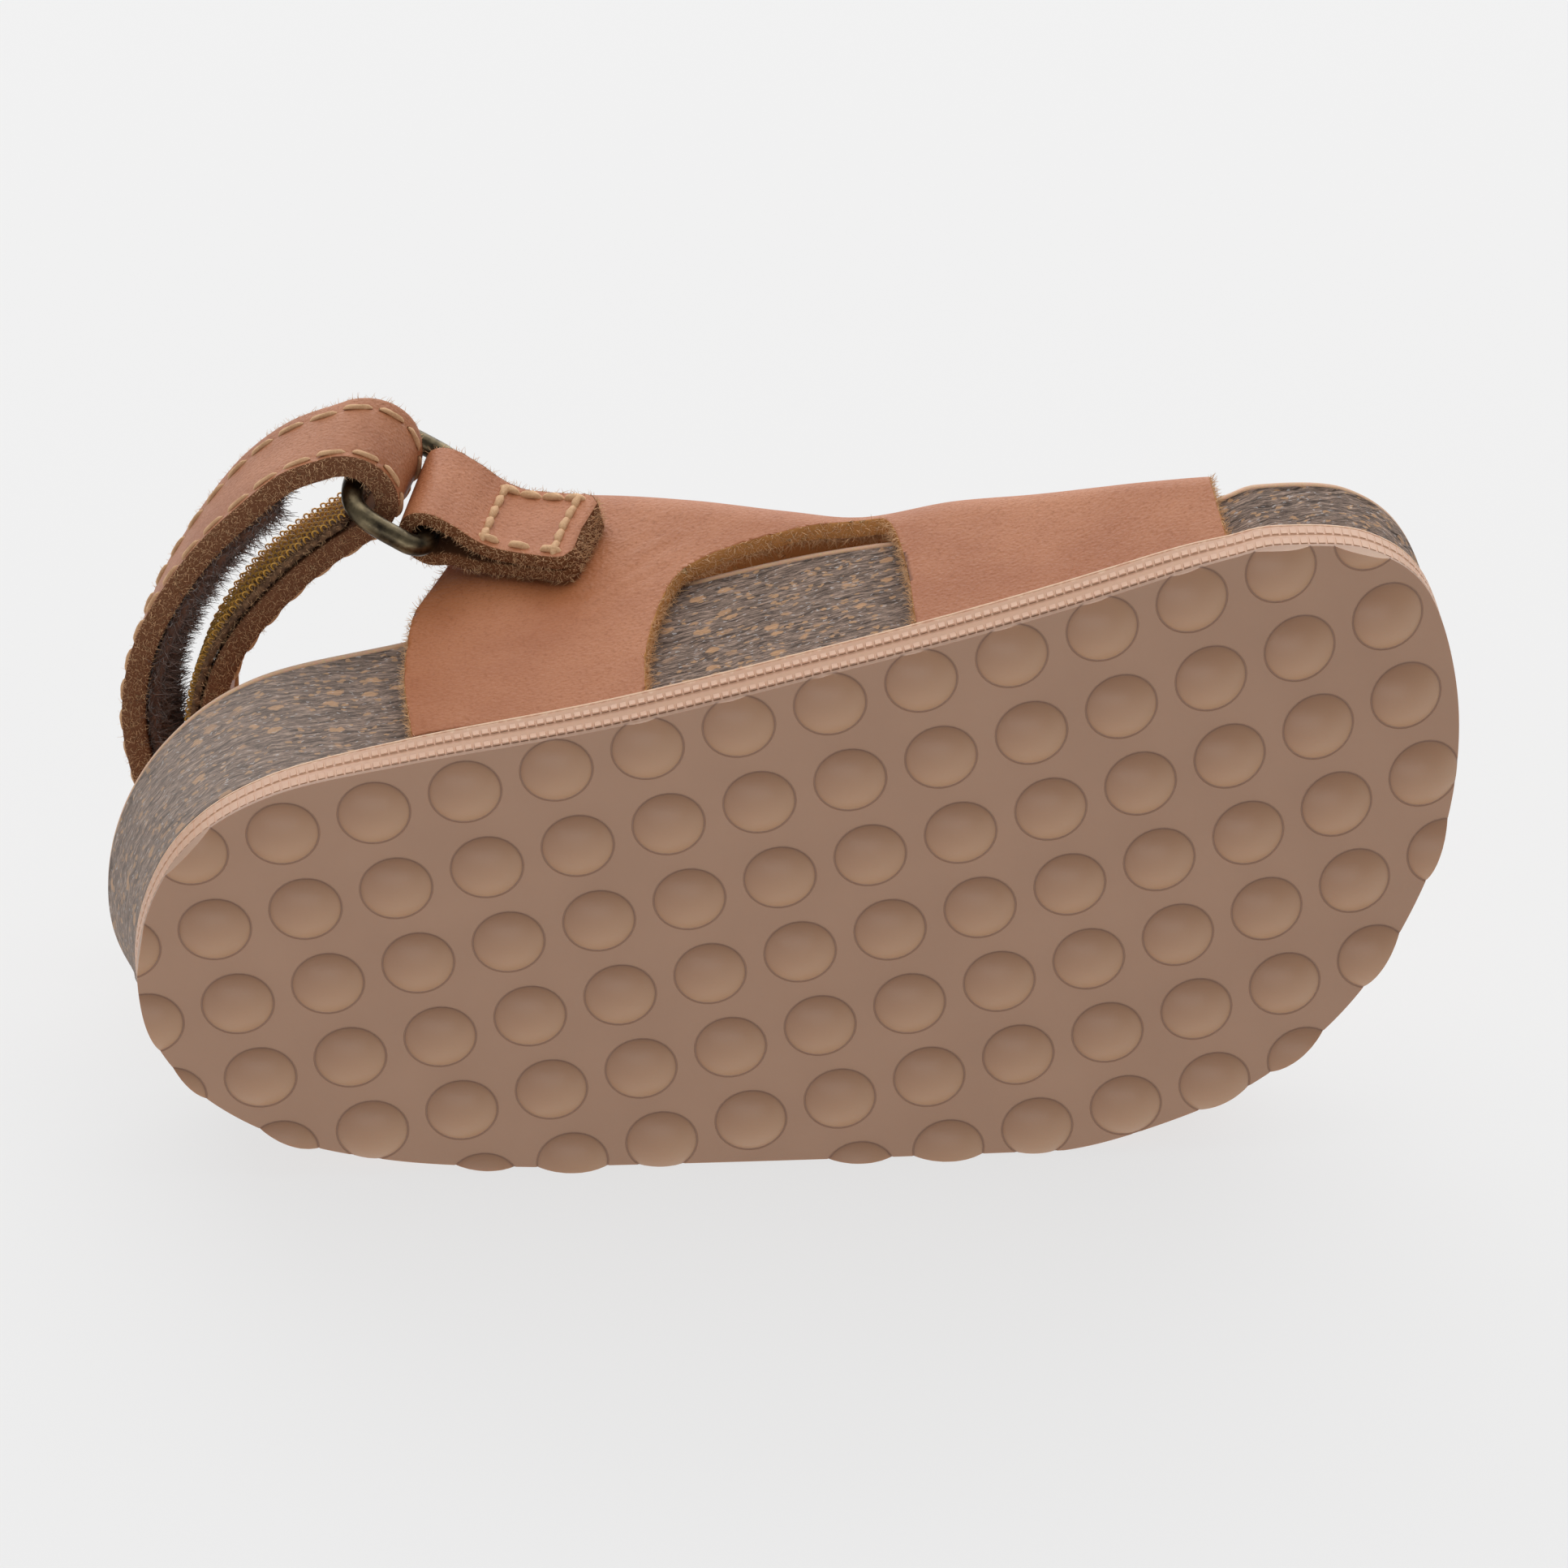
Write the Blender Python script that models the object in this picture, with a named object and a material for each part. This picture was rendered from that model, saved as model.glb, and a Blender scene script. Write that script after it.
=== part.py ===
"""A small child's sandal with a cork footbed: a left shoe, lying on its outer side.

Each piece is drawn in the shoe's own frame, in millimetres: x runs from heel to toe, y from the inner
side of the foot to the outer, and z up from the tread. The sole is drawn flat. finish_piece() then gives
every piece the spring of the worn sole and turns millimetres to metres, and the empty lying_pose lays
the shoe on its outer side, with the straight run of its outline on the ground.
"""
import math

import bmesh
import bpy
from mathutils import Matrix, Vector

# Outsole, in millimetres. The studs' pitch is the size that everything else was measured against.
STUD_PITCH = 10.0
STUD_DIAMETER = 7.6
STUD_HEIGHT = 1.4
STUD_SIDES = 8
STUD_GRID_START = (0.2, -18.8)
STUD_COLUMNS = 15
STUD_ROWS = 7
PLATE_THICKNESS = 4.0
GROOVE_HEIGHT = 2.1
GROOVE_WIDTH = 0.5
GROOVE_DEPTH = 0.35
GAP = 0.3
# A stud's side goes straight up into the plate from STUD_ROOT; its cap is drawn at these angles.
STUD_ROOT = 0.8
STUD_CAP_ANGLES = (21.0, 40.3)
# The plate before it is cut to the outline: x and y of two corners. The cut runs between two levels.
BLANK_CORNERS = ((-8.0, -32.0), (154.0, 54.0))
CUT_LEVELS = (-5.0, 9.0)

# Spring of the sole: it is level at the ball and lifts as a parabola towards the toe and the heel.
# The toe's bend line crosses the sole aslant, further back on the inner side.
BALL_X = 90.0
TOE_LIFT = 4.9
TOE_LIFT_RUN = 50.0
TOE_SKEW = 0.31
HEEL_LIFT = 2.4
# Places along x where the plate's flat top is divided, so that it can follow the spring.
HEEL_BENDS = tuple(range(10, 90, 10))
TOE_BENDS = tuple(range(90, 155, 8))

# The outline's straight run on the outer side, which lies on the ground.
STRAIGHT_START = (35.9, 30.7)
STRAIGHT_END = (92.4, 45.1)
STRAIGHT_PARTS = 9
STRAIGHT_LEAD = 12.0

# Round the rest of the outline, from the outer ball by the toe, the inner side and the heel.
# Columns: x, y, how far the cork's foot stands in from the line, the same at its rim, rim height,
# how far the outsole's upper edge stands out from the line, the same at its tread.
OUTLINE = (
    (92.4, 45.1, 2.4, 2.4, 17.0, 0.0, 0.0),
    (103.0, 44.9, 2.4, 2.4, 15.0, 0.0, 0.0),
    (114.2, 42.7, 2.4, 2.4, 13.0, 0.0, 0.0),
    (125.2, 37.2, 1.2, 1.0, 11.5, 0.0, 0.0),
    (134.2, 28.8, 0.8, 0.6, 11.0, 0.0, 0.0),
    (141.7, 17.4, 0.8, 0.6, 10.6, 0.0, 0.0),
    (145.6, 4.0, 0.8, 0.6, 10.4, 0.0, 0.0),
    (145.2, -9.5, 0.8, 0.6, 11.0, 0.0, 0.0),
    (140.0, -17.0, 0.8, 0.6, 12.6, 0.2, 0.0),
    (131.0, -21.0, 1.8, 1.7, 14.8, 0.6, 0.2),
    (125.5, -21.6, 2.4, 2.4, 16.2, 0.9, 0.4),
    (119.0, -21.7, 2.4, 2.4, 18.0, 1.5, 0.6),
    (106.0, -21.7, 2.4, 2.4, 22.0, 1.7, 0.6),
    (84.0, -23.0, 2.4, 2.4, 26.0, 0.5, -0.6),
    (58.0, -22.7, 2.4, 2.4, 27.4, 0.8, -0.4),
    (36.0, -24.3, 2.4, 2.4, 25.4, 0.2, -0.6),
    (20.0, -23.9, 0.6, -0.4, 22.0, 0.0, -0.2),
    (9.5, -19.4, 0.3, -1.1, 19.0, 0.0, 0.0),
    (2.6, -10.5, 0.2, -1.5, 17.8, 0.0, 0.0),
    (0.0, 0.0, 0.2, -1.6, 16.6, 0.0, 0.0),
    (2.6, 10.3, 0.2, -1.4, 16.8, 0.0, 0.0),
    (10.2, 19.3, 0.6, -0.4, 17.6, 0.0, 0.0),
    (21.4, 25.7, 1.8, 1.2, 19.0, 0.0, 0.0),
    (35.9, 30.7, 2.4, 2.4, 20.0, 0.0, 0.0),
)
SPAN_STEPS = 4

# Footbed: height of its hollow along the middle, and how the hollow climbs to the rim.
# Columns: x, height of the bed.
BED = ((0.0, 13.0), (30.0, 13.0), (55.0, 14.5), (75.0, 13.0), (97.0, 10.2), (125.0, 8.8), (146.0, 8.8))
# Columns: distance in from the rim, share of the climb from bed to rim.
BED_RINGS = ((1.6, 0.97), (4.5, 0.55), (9.0, 0.16), (14.0, 0.03))
SPINE_START = 26.0
SPINE_END = 118.0
SPINE_STEP = 7.667
FULLEST_PART = 0.95
LINING_THICKNESS = 1.0
LINING_GAP = 0.4
LINING_INSET = 0.15

# Upper: one leather shell over the last, with its sections from the throat to the toes.
# Columns: x, inner shoulder, crest, y of the crest, outer shoulder. Below a shoulder the wall is upright.
LEATHER = 1.8
INNER_WALL_INSET = 0.2
LAST = (
    (32.0, 50.0, 68.0, 0.0, 31.0),
    (46.0, 48.0, 65.0, -2.0, 30.0),
    (60.0, 43.5, 58.5, -3.0, 28.0),
    (70.0, 37.5, 52.5, -4.0, 26.0),
    (80.0, 30.0, 45.5, -4.0, 22.0),
    (88.0, 25.0, 40.5, -3.0, 19.0),
    (98.0, 25.0, 39.0, -2.0, 17.0),
    (107.0, 23.0, 36.0, 0.0, 16.0),
    (116.0, 20.0, 32.5, 1.0, 14.0),
    (130.0, 14.0, 26.5, 2.0, 11.0),
)
SHELL_STEP = 4.8
WALL_STEPS = 3
CREST_STEPS = 7
# Edges of the leather. Columns: x, height above the tread.
THROAT_EDGE = ((36.0, 0.0), (35.8, 10.0), (36.1, 18.0), (37.8, 28.0), (39.8, 32.4), (42.7, 38.0),
               (46.0, 45.5), (50.0, 53.0), (53.5, 61.0), (56.0, 76.0))
INNER_WINDOW = ((61.3, 0.0), (61.6, 6.0), (62.5, 13.5), (64.6, 21.0), (67.1, 26.2), (70.5, 28.4),
                (76.0, 29.2), (87.7, 28.8), (90.4, 27.2), (91.3, 18.0), (90.9, 6.0), (90.7, 0.0))
OUTER_WINDOW = ((57.0, 0.0), (58.0, 12.0), (60.5, 20.0), (65.0, 23.5), (72.0, 24.0), (79.0, 23.0),
                (82.0, 20.0), (82.5, 10.0), (82.0, 0.0))
# Front edge of the toe band, seen from above. Columns: x, y.
TOE_EDGE = ((125.2, -30.0), (125.8, -18.0), (126.2, -6.0), (125.0, 8.0), (121.0, 24.0), (114.0, 40.0),
            (110.0, 52.0))
# How far the cuts along these edges reach past the leather: x behind the throat and before the toes,
# and the two ends of each cut across it.
THROAT_CUT_X = 10.0
TOE_CUT_X = 160.0
THROAT_CUT_SPAN = (-50.0, 70.0)
TOE_CUT_SPAN = (-5.0, 60.0)
INNER_WINDOW_SPAN = (-50.0, -6.0)
OUTER_WINDOW_SPAN = (12.0, 70.0)

# Ring: a round wire bent to a D. Its bar lies in the tab's eye, and its bow stands out from the side.
WIRE_RADIUS = 1.2
RING_BAR_MIDDLE = (43.5, -28.3, 42.5)
RING_HALF_LENGTH = 8.9
RING_UPPER_HALF_LENGTH = 8.5
RING_DEPTH = 9.8
RING_SQUARENESS = 4.2
RING_CORNER = 2.2
RING_STAND_OUT = math.radians(39.5)
RING_SLANT = math.radians(72.0)
RING_POINTS = 26
RING_CORNER_TURNS = (20.0, 45.0, 70.0, 90.0)

# Tab: leather folded round the ring's bar and stitched to the shell. It runs forward and down.
TAB_SLOPE = math.radians(-29.0)
TAB_LENGTH = 16.6
TAB_HALF_WIDTH_TAIL = 6.1
TAB_HALF_WIDTH_EYE = 6.9
TAB_LAYER = 1.7
EYE_CLEARANCE = 0.45
EYE_THROAT = 1.6
TAB_FLARE_RUN = 8.0
TAB_CORNER = 2.0
TAB_CORNER_SHARES = (0.6, 0.85, 1.0)
# The tab's faces from the tail to the eye. Columns: distance along, height over the layers' own face.
TAB_FRONT = ((12.0, 0.0), (8.0, 0.3), (4.4, 1.9))
TAB_BACK = ((3.6, 0.35), (6.0, 0.0), (12.0, 0.0))

# Heel strap, from above: the middle of the leather's thickness. Columns: x, y, lean of the strap in degrees.
# The inner arm ends and the outer arm starts on the fold, an arc round the ring's bow.
STRAP_WIDTH = 14.8
STRAP_SQUEEZE = 0.22
STRAP_THICKNESS = 2.6
STRAP_MIDDLE_HEIGHT = 44.5
INNER_ARM = (
    (35.0, 24.2, 20.0),
    (28.0, 21.4, 15.0),
    (20.5, 16.8, 10.0),
    (14.4, 9.6, 8.0),
    (11.9, 1.0, 9.0),
    (13.2, -7.4, 10.5),
    (16.2, -14.4, 13.5),
    (21.0, -20.0, 15.0),
    (27.6, -24.6, 12.5),
)
FOLD_CENTRE = (34.9, -33.25)
FOLD_RADIUS = 5.1
FOLD_START = math.radians(62.0)
FOLD_STEPS = 8
FOLD_LEAN = 8.0
FOLD_UPRIGHT = math.radians(15.0)
OUTER_ARM = (
    (28.6, -37.4, 5.0),
    (21.5, -33.4, 11.0),
    (15.0, -27.7, 14.0),
    (9.5, -20.9, 14.0),
    (5.9, -13.0, 10.0),
    (5.0, -4.0, 8.0),
    (5.8, 4.0, 8.0),
)
ARM_STEPS = 4
# The strap takes the ring's slant from this x on, over this run, on the inner side of this y.
SLANT_START = 22.0
SLANT_RUN = 14.0
SLANT_SIDE = -15.0
FOOT_CENTRE = (32.0, 0.0)
ROOT_STATIONS = (56.0, 52.0, 48.0, 44.0, 40.0)
ROOT_GAP = 0.8
TAPE_WIDTH = 12.5
HOOK_TAPE_THICKNESS = 1.1
PILE_TAPE_THICKNESS = 1.5
# The hook tape runs from the outer side, past this y, up to this x; the pile tape starts behind its own x.
HOOK_TAPE_Y = 4.0
HOOK_TAPE_X = 35.5
PILE_TAPE_X = 26.0

TO_METRES = 0.001
MERGE = 0.00002


def clear_scene():
    for item in list(bpy.data.objects):
        bpy.data.objects.remove(item, do_unlink=True)


def interpolate(table, x, column=1):
    """A column of a table that is sorted by its first column, read at x."""
    if x <= table[0][0]:
        return table[0][column]
    for low, high in zip(table, table[1:]):
        if x <= high[0]:
            share = (x - low[0]) / (high[0] - low[0])
            share = share * share * (3.0 - 2.0 * share) if column > 1 else share
            return low[column] + share * (high[column] - low[column])
    return table[-1][column]


def catmull_rom(before, start, end, after, share):
    """A point on the smooth curve from start to end, for rows with any number of columns."""
    return tuple(
        0.5 * (2.0 * b + (c - a) * share + (2.0 * a - 5.0 * b + 4.0 * c - d) * share ** 2
               + (3.0 * b - a - 3.0 * c + d) * share ** 3)
        for a, b, c, d in zip(before, start, end, after))


def smooth_path(rows, steps, first=None, last=None):
    """Rows read along the smooth curve through them; first and last steer its two ends."""
    rows = list(rows)
    first = first or tuple(2.0 * a - b for a, b in zip(rows[0], rows[1]))
    last = last or tuple(2.0 * a - b for a, b in zip(rows[-1], rows[-2]))
    padded = [first] + rows + [last]
    path = []
    for index in range(len(rows) - 1):
        for step in range(steps):
            path.append(catmull_rom(*padded[index:index + 4], step / steps))
    path.append(rows[-1])
    return path


def sole_outline():
    """The outsole's edge, all the way round: the curved part, then the straight run."""
    run = Vector(STRAIGHT_END) - Vector(STRAIGHT_START)
    step = run.normalized() * STRAIGHT_LEAD
    first = (STRAIGHT_END[0] - step.x, STRAIGHT_END[1] - step.y) + OUTLINE[0][2:]
    last = (STRAIGHT_START[0] + step.x, STRAIGHT_START[1] + step.y) + OUTLINE[-1][2:]
    rows = smooth_path(OUTLINE, SPAN_STEPS, first, last)
    for part in range(1, STRAIGHT_PARTS):
        share = part / STRAIGHT_PARTS
        rows.append(tuple(a + share * (b - a) for a, b in zip(OUTLINE[-1], OUTLINE[0])))
    return rows


EDGE = sole_outline()


def inset_point(index, distance):
    """The outline's point at index, moved in by distance across the edge."""
    before = EDGE[index - 1]
    here = EDGE[index]
    after = EDGE[(index + 1) % len(EDGE)]
    along = Vector((after[0] - before[0], after[1] - before[1])).normalized()
    return here[0] + along.y * distance, here[1] - along.x * distance


def side_y(x, outer):
    """y of the outline at x, on the outer or the inner side."""
    best = None
    for here, after in zip(EDGE, EDGE[1:] + EDGE[:1]):
        low, high = min(here[0], after[0]), max(here[0], after[0])
        if low <= x <= high and high > low:
            share = (x - here[0]) / (after[0] - here[0])
            y = here[1] + share * (after[1] - here[1])
            if best is None or (y > best if outer else y < best):
                best = y
    return best


def spine_point(x):
    """The nearest station on the footbed's middle line."""
    count = round((SPINE_END - SPINE_START) / SPINE_STEP)
    station = round((x - SPINE_START) / (SPINE_END - SPINE_START) * count)
    station = min(max(station, 0), count)
    at = SPINE_START + (SPINE_END - SPINE_START) * station / count
    return at, 0.5 * (side_y(at, True) + side_y(at, False))


def sole_spring(x, y):
    """How far the worn sole lifts off a flat floor."""
    toe = max(0.0, x - TOE_SKEW * y - BALL_X) / TOE_LIFT_RUN
    heel = max(0.0, BALL_X - x) / BALL_X
    return TOE_LIFT * toe ** 2 + HEEL_LIFT * heel ** 2


def make_material(name, colour, roughness, metallic=0.0):
    material = bpy.data.materials.new(name)
    material.use_nodes = True
    shader = material.node_tree.nodes["Principled BSDF"]
    shader.inputs["Base Color"].default_value = (*colour, 1.0)
    shader.inputs["Roughness"].default_value = roughness
    shader.inputs["Metallic"].default_value = metallic
    material.diffuse_color = (*colour, 1.0)
    return material


def finish_piece(name, shape, material, pose, collection, smooth_angle=None):
    """Turns a flat-drawn bmesh in millimetres into a named piece of the sprung shoe."""
    for vertex in shape.verts:
        vertex.co.z += sole_spring(vertex.co.x, vertex.co.y)
        vertex.co *= TO_METRES
    bmesh.ops.remove_doubles(shape, verts=shape.verts, dist=MERGE)
    bmesh.ops.triangulate(shape, faces=shape.faces)
    bmesh.ops.recalc_face_normals(shape, faces=shape.faces)
    if shape.calc_volume(signed=True) < 0.0:
        bmesh.ops.reverse_faces(shape, faces=shape.faces)
    mesh = bpy.data.meshes.new(name)
    shape.to_mesh(mesh)
    shape.free()
    if smooth_angle is not None:
        mesh.shade_smooth()
        mesh.set_sharp_from_angle(angle=math.radians(smooth_angle))
    mesh.materials.append(material)
    piece = bpy.data.objects.new(name, mesh)
    collection.objects.link(piece)
    piece.parent = pose
    return piece


def add_rings(shape, rings, close_first=True, close_last=True, round_ring=True):
    """Skins a row of point rings, and closes its two ends with a face each."""
    loops = [[shape.verts.new(point) for point in ring] for ring in rings]
    for low, high in zip(loops, loops[1:]):
        count = len(low)
        for index in range(count if round_ring else count - 1):
            after = (index + 1) % count
            shape.faces.new((low[index], low[after], high[after], high[index]))
    if close_first:
        shape.faces.new(list(reversed(loops[0])))
    if close_last:
        shape.faces.new(loops[-1])
    return loops


def prism(profile, low, high, axis):
    """A block with the given outline, run along z, or along y for a profile of x and z."""
    shape = bmesh.new()
    if axis == "z":
        rings = [[(x, y, level) for x, y in profile] for level in (low, high)]
    else:
        rings = [[(x, level, z) for x, z in profile] for level in (low, high)]
    add_rings(shape, rings)
    bmesh.ops.recalc_face_normals(shape, faces=shape.faces)
    return shape


def combine(shape, tool, operation):
    """The exact union, difference or intersection of two closed shapes."""
    pair = []
    for source in (shape, tool):
        mesh = bpy.data.meshes.new("drawing")
        source.to_mesh(mesh)
        source.free()
        drawing = bpy.data.objects.new("drawing", mesh)
        bpy.context.scene.collection.objects.link(drawing)
        pair.append(drawing)
    cut = pair[0].modifiers.new("cut", "BOOLEAN")
    cut.operation = operation
    cut.solver = "EXACT"
    cut.object = pair[1]
    bpy.context.view_layer.update()
    evaluated = pair[0].evaluated_get(bpy.context.evaluated_depsgraph_get())
    mesh = bpy.data.meshes.new_from_object(evaluated)
    result = bmesh.new()
    result.from_mesh(mesh)
    for drawing in pair:
        bpy.data.objects.remove(drawing, do_unlink=True)
    return result


def split_top(shape, top):
    """Cuts the top face into strips along the bend lines, so that it can take the spring."""
    cuts = [(Vector((float(x), 0.0, 0.0)), Vector((1.0, 0.0, 0.0))) for x in HEEL_BENDS]
    across = Vector((1.0, -TOE_SKEW, 0.0)).normalized()
    cuts += [(Vector((float(x), 0.0, 0.0)), across) for x in TOE_BENDS]
    for place, normal in cuts:
        faces = [face for face in shape.faces if all(abs(v.co.z - top) < 0.01 for v in face.verts)]
        edges = {edge for face in faces for edge in face.edges}
        vertices = {vertex for face in faces for vertex in face.verts}
        bmesh.ops.bisect_plane(shape, geom=list(vertices) + list(edges) + faces,
                               plane_co=place, plane_no=normal, dist=0.01)


def draw_studs():
    """Domes on a square grid, each the lowest cap of a sphere."""
    radius = (STUD_DIAMETER ** 2 / 4.0 + STUD_HEIGHT ** 2) / (2.0 * STUD_HEIGHT)
    studs = bmesh.new()
    for column in range(STUD_COLUMNS):
        for row in range(STUD_ROWS):
            x = STUD_GRID_START[0] + column * STUD_PITCH
            y = STUD_GRID_START[1] + row * STUD_PITCH
            rings = []
            for angle in STUD_CAP_ANGLES:
                ring_radius = radius * math.sin(math.radians(angle))
                level = radius - STUD_HEIGHT - radius * math.cos(math.radians(angle))
                rings.append((ring_radius, level))
            rings.append((STUD_DIAMETER / 2.0, STUD_ROOT))
            loops = []
            for ring_radius, level in reversed(rings):
                turn = [2.0 * math.pi * (side + 0.5) / STUD_SIDES for side in range(STUD_SIDES)]
                loops.append([(x + ring_radius * math.cos(a), y + ring_radius * math.sin(a), level)
                              for a in turn])
            vertices = add_rings(studs, loops, close_last=False)
            crown = studs.verts.new((x, y, -STUD_HEIGHT))
            for side in range(STUD_SIDES):
                studs.faces.new((vertices[-1][side], vertices[-1][(side + 1) % STUD_SIDES], crown))
    bmesh.ops.recalc_face_normals(studs, faces=studs.faces)
    return studs


def make_outsole(material, pose, collection):
    """A plate with a studded tread; the studs are cut off where they cross its edge."""
    (low_x, low_y), (high_x, high_y) = BLANK_CORNERS
    corners = [(low_x, low_y), (high_x, low_y), (high_x, high_y), (low_x, high_y)]
    blank = prism(corners, 0.0, PLATE_THICKNESS, "z")
    tread = combine(blank, draw_studs(), "UNION")
    half = GROOVE_WIDTH / 2.0
    levels = ((CUT_LEVELS[0], 0.0), (0.0, 0.0), (GROOVE_HEIGHT - half, 0.0),
              (GROOVE_HEIGHT - half / 2.0, GROOVE_DEPTH), (GROOVE_HEIGHT + half / 2.0, GROOVE_DEPTH),
              (GROOVE_HEIGHT + half, 0.0), (PLATE_THICKNESS, 0.0), (CUT_LEVELS[1], 0.0))
    rings = []
    for level, depth in levels:
        share = min(max(level / PLATE_THICKNESS, 0.0), 1.0)
        rings.append([(*inset_point(index, depth - row[6] - (row[5] - row[6]) * share), level)
                      for index, row in enumerate(EDGE)])
    block = bmesh.new()
    add_rings(block, rings)
    bmesh.ops.recalc_face_normals(block, faces=block.faces)
    shape = combine(tread, block, "INTERSECT")
    bmesh.ops.dissolve_limit(shape, angle_limit=math.radians(0.05), verts=shape.verts, edges=shape.edges)
    split_top(shape, PLATE_THICKNESS)
    finish_piece("outsole", shape, material, pose, collection, 25.0)


def bed_rings(raise_by, edge_inset):
    """Rings of the footbed's hollow from its rim inwards, ending on its middle line."""
    rings = [[] for _ in range(len(BED_RINGS) + 2)]
    for index, row in enumerate(EDGE):
        rim = inset_point(index, row[3] + edge_inset)
        spine = spine_point(row[0])
        reach = math.dist(rim, spine)
        climb = row[4] - interpolate(BED, row[0])
        rings[0].append((*rim, row[4] + raise_by))
        for ring, (distance, share) in zip(rings[1:], BED_RINGS):
            part = min((distance - edge_inset) / reach, FULLEST_PART)
            x = rim[0] + (spine[0] - rim[0]) * part
            y = rim[1] + (spine[1] - rim[1]) * part
            ring.append((x, y, interpolate(BED, x) + climb * share + raise_by))
        rings[-1].append((*spine, interpolate(BED, spine[0]) + raise_by))
    return rings


def make_footbed(material, pose, collection):
    """A block of cork with a hollow for the foot; its wall leans out at the heel."""
    foot = PLATE_THICKNESS + GAP
    rings = [[(*spine_point(row[0]), foot) for row in EDGE]]
    rings.append([(*inset_point(index, row[2]), foot) for index, row in enumerate(EDGE)])
    rings += bed_rings(0.0, 0.0)
    shape = bmesh.new()
    add_rings(shape, rings, close_first=False, close_last=False)
    bmesh.ops.remove_doubles(shape, verts=shape.verts, dist=0.01)
    bmesh.ops.dissolve_degenerate(shape, edges=shape.edges, dist=0.005)
    finish_piece("cork_footbed", shape, material, pose, collection, 40.0)


def make_lining(material, pose, collection):
    """A thin leather lining over the cork, up to its rim."""
    under = bed_rings(LINING_GAP, LINING_INSET)
    over = bed_rings(LINING_GAP + LINING_THICKNESS, LINING_INSET)
    shape = bmesh.new()
    add_rings(shape, list(reversed(under)) + over, close_first=False, close_last=False)
    bmesh.ops.remove_doubles(shape, verts=shape.verts, dist=0.01)
    bmesh.ops.dissolve_degenerate(shape, edges=shape.edges, dist=0.005)
    finish_piece("insole", shape, material, pose, collection, 40.0)


def wall_y(x, outer):
    """y of the leather's outer face where its wall is upright."""
    return side_y(x, True) if outer else side_y(x, False) + INNER_WALL_INSET


def shell_y(x, height, outer, depth=0.0):
    """y of the shell at a height above the tread, on its outer face or at a depth under it."""
    shoulder = interpolate(LAST, x, 4 if outer else 1)
    crest = interpolate(LAST, x, 2) - depth
    middle = interpolate(LAST, x, 3)
    wall = wall_y(x, outer) + (-depth if outer else depth)
    if height <= shoulder:
        return wall
    share = min((height - shoulder) / (crest - shoulder), 1.0)
    return middle + (wall - middle) * math.sqrt(1.0 - share ** 2)


def shell_section(x, depth):
    """One section of the shell, from the inner edge over the crest to the outer edge."""
    foot = PLATE_THICKNESS + GAP
    crest = interpolate(LAST, x, 2) - depth
    middle = interpolate(LAST, x, 3)
    points = []
    for outer in (False, True):
        wall = wall_y(x, outer)
        wall += -depth if outer else depth
        shoulder = interpolate(LAST, x, 4 if outer else 1)
        half = [(x, wall, foot + (shoulder - foot) * step / WALL_STEPS) for step in range(WALL_STEPS)]
        for step in range(CREST_STEPS):
            turn = 0.5 * math.pi * step / CREST_STEPS
            half.append((x, middle + (wall - middle) * math.cos(turn),
                         shoulder + (crest - shoulder) * math.sin(turn)))
        if outer:
            points.append((x, middle, crest))
            half.reverse()
        points += half
    return points


def make_upper(material, pose, collection):
    """The leather shell: a band over the toes and a band over the instep, joined above two windows."""
    start, end = LAST[0][0], LAST[-1][0]
    count = round((end - start) / SHELL_STEP)
    stations = [start + (end - start) * step / count for step in range(count + 1)]
    rings = [shell_section(x, 0.0) + list(reversed(shell_section(x, LEATHER))) for x in stations]
    shape = bmesh.new()
    loops = add_rings(shape, rings, close_first=False, close_last=False)
    half = len(loops[0]) // 2
    for loop in (loops[0], loops[-1]):
        for index in range(half - 1):
            mate = len(loop) - 1 - index
            shape.faces.new((loop[index], loop[index + 1], loop[mate - 1], loop[mate]))
    bmesh.ops.recalc_face_normals(shape, faces=shape.faces)
    throat = list(THROAT_EDGE) + [(THROAT_CUT_X, THROAT_EDGE[-1][1]), (THROAT_CUT_X, THROAT_EDGE[0][1])]
    toes = list(TOE_EDGE) + [(TOE_CUT_X, TOE_EDGE[-1][1]), (TOE_CUT_X, TOE_EDGE[0][1])]
    for outline, span, axis in (
            (throat, THROAT_CUT_SPAN, "y"),
            (toes, TOE_CUT_SPAN, "z"),
            (INNER_WINDOW, INNER_WINDOW_SPAN, "y"),
            (OUTER_WINDOW, OUTER_WINDOW_SPAN, "y")):
        shape = combine(shape, prism(outline, *span, axis), "DIFFERENCE")
    finish_piece("upper", shape, material, pose, collection, 35.0)


def ring_axes():
    """Directions of the ring: along its bar, and from the bar to the middle of its bow."""
    bar = Vector((math.cos(RING_SLANT), 0.0, math.sin(RING_SLANT)))
    back = Vector((-bar.z, 0.0, bar.x))
    bow = back * math.cos(RING_STAND_OUT) + Vector((0.0, -1.0, 0.0)) * math.sin(RING_STAND_OUT)
    return bar, bow


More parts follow.
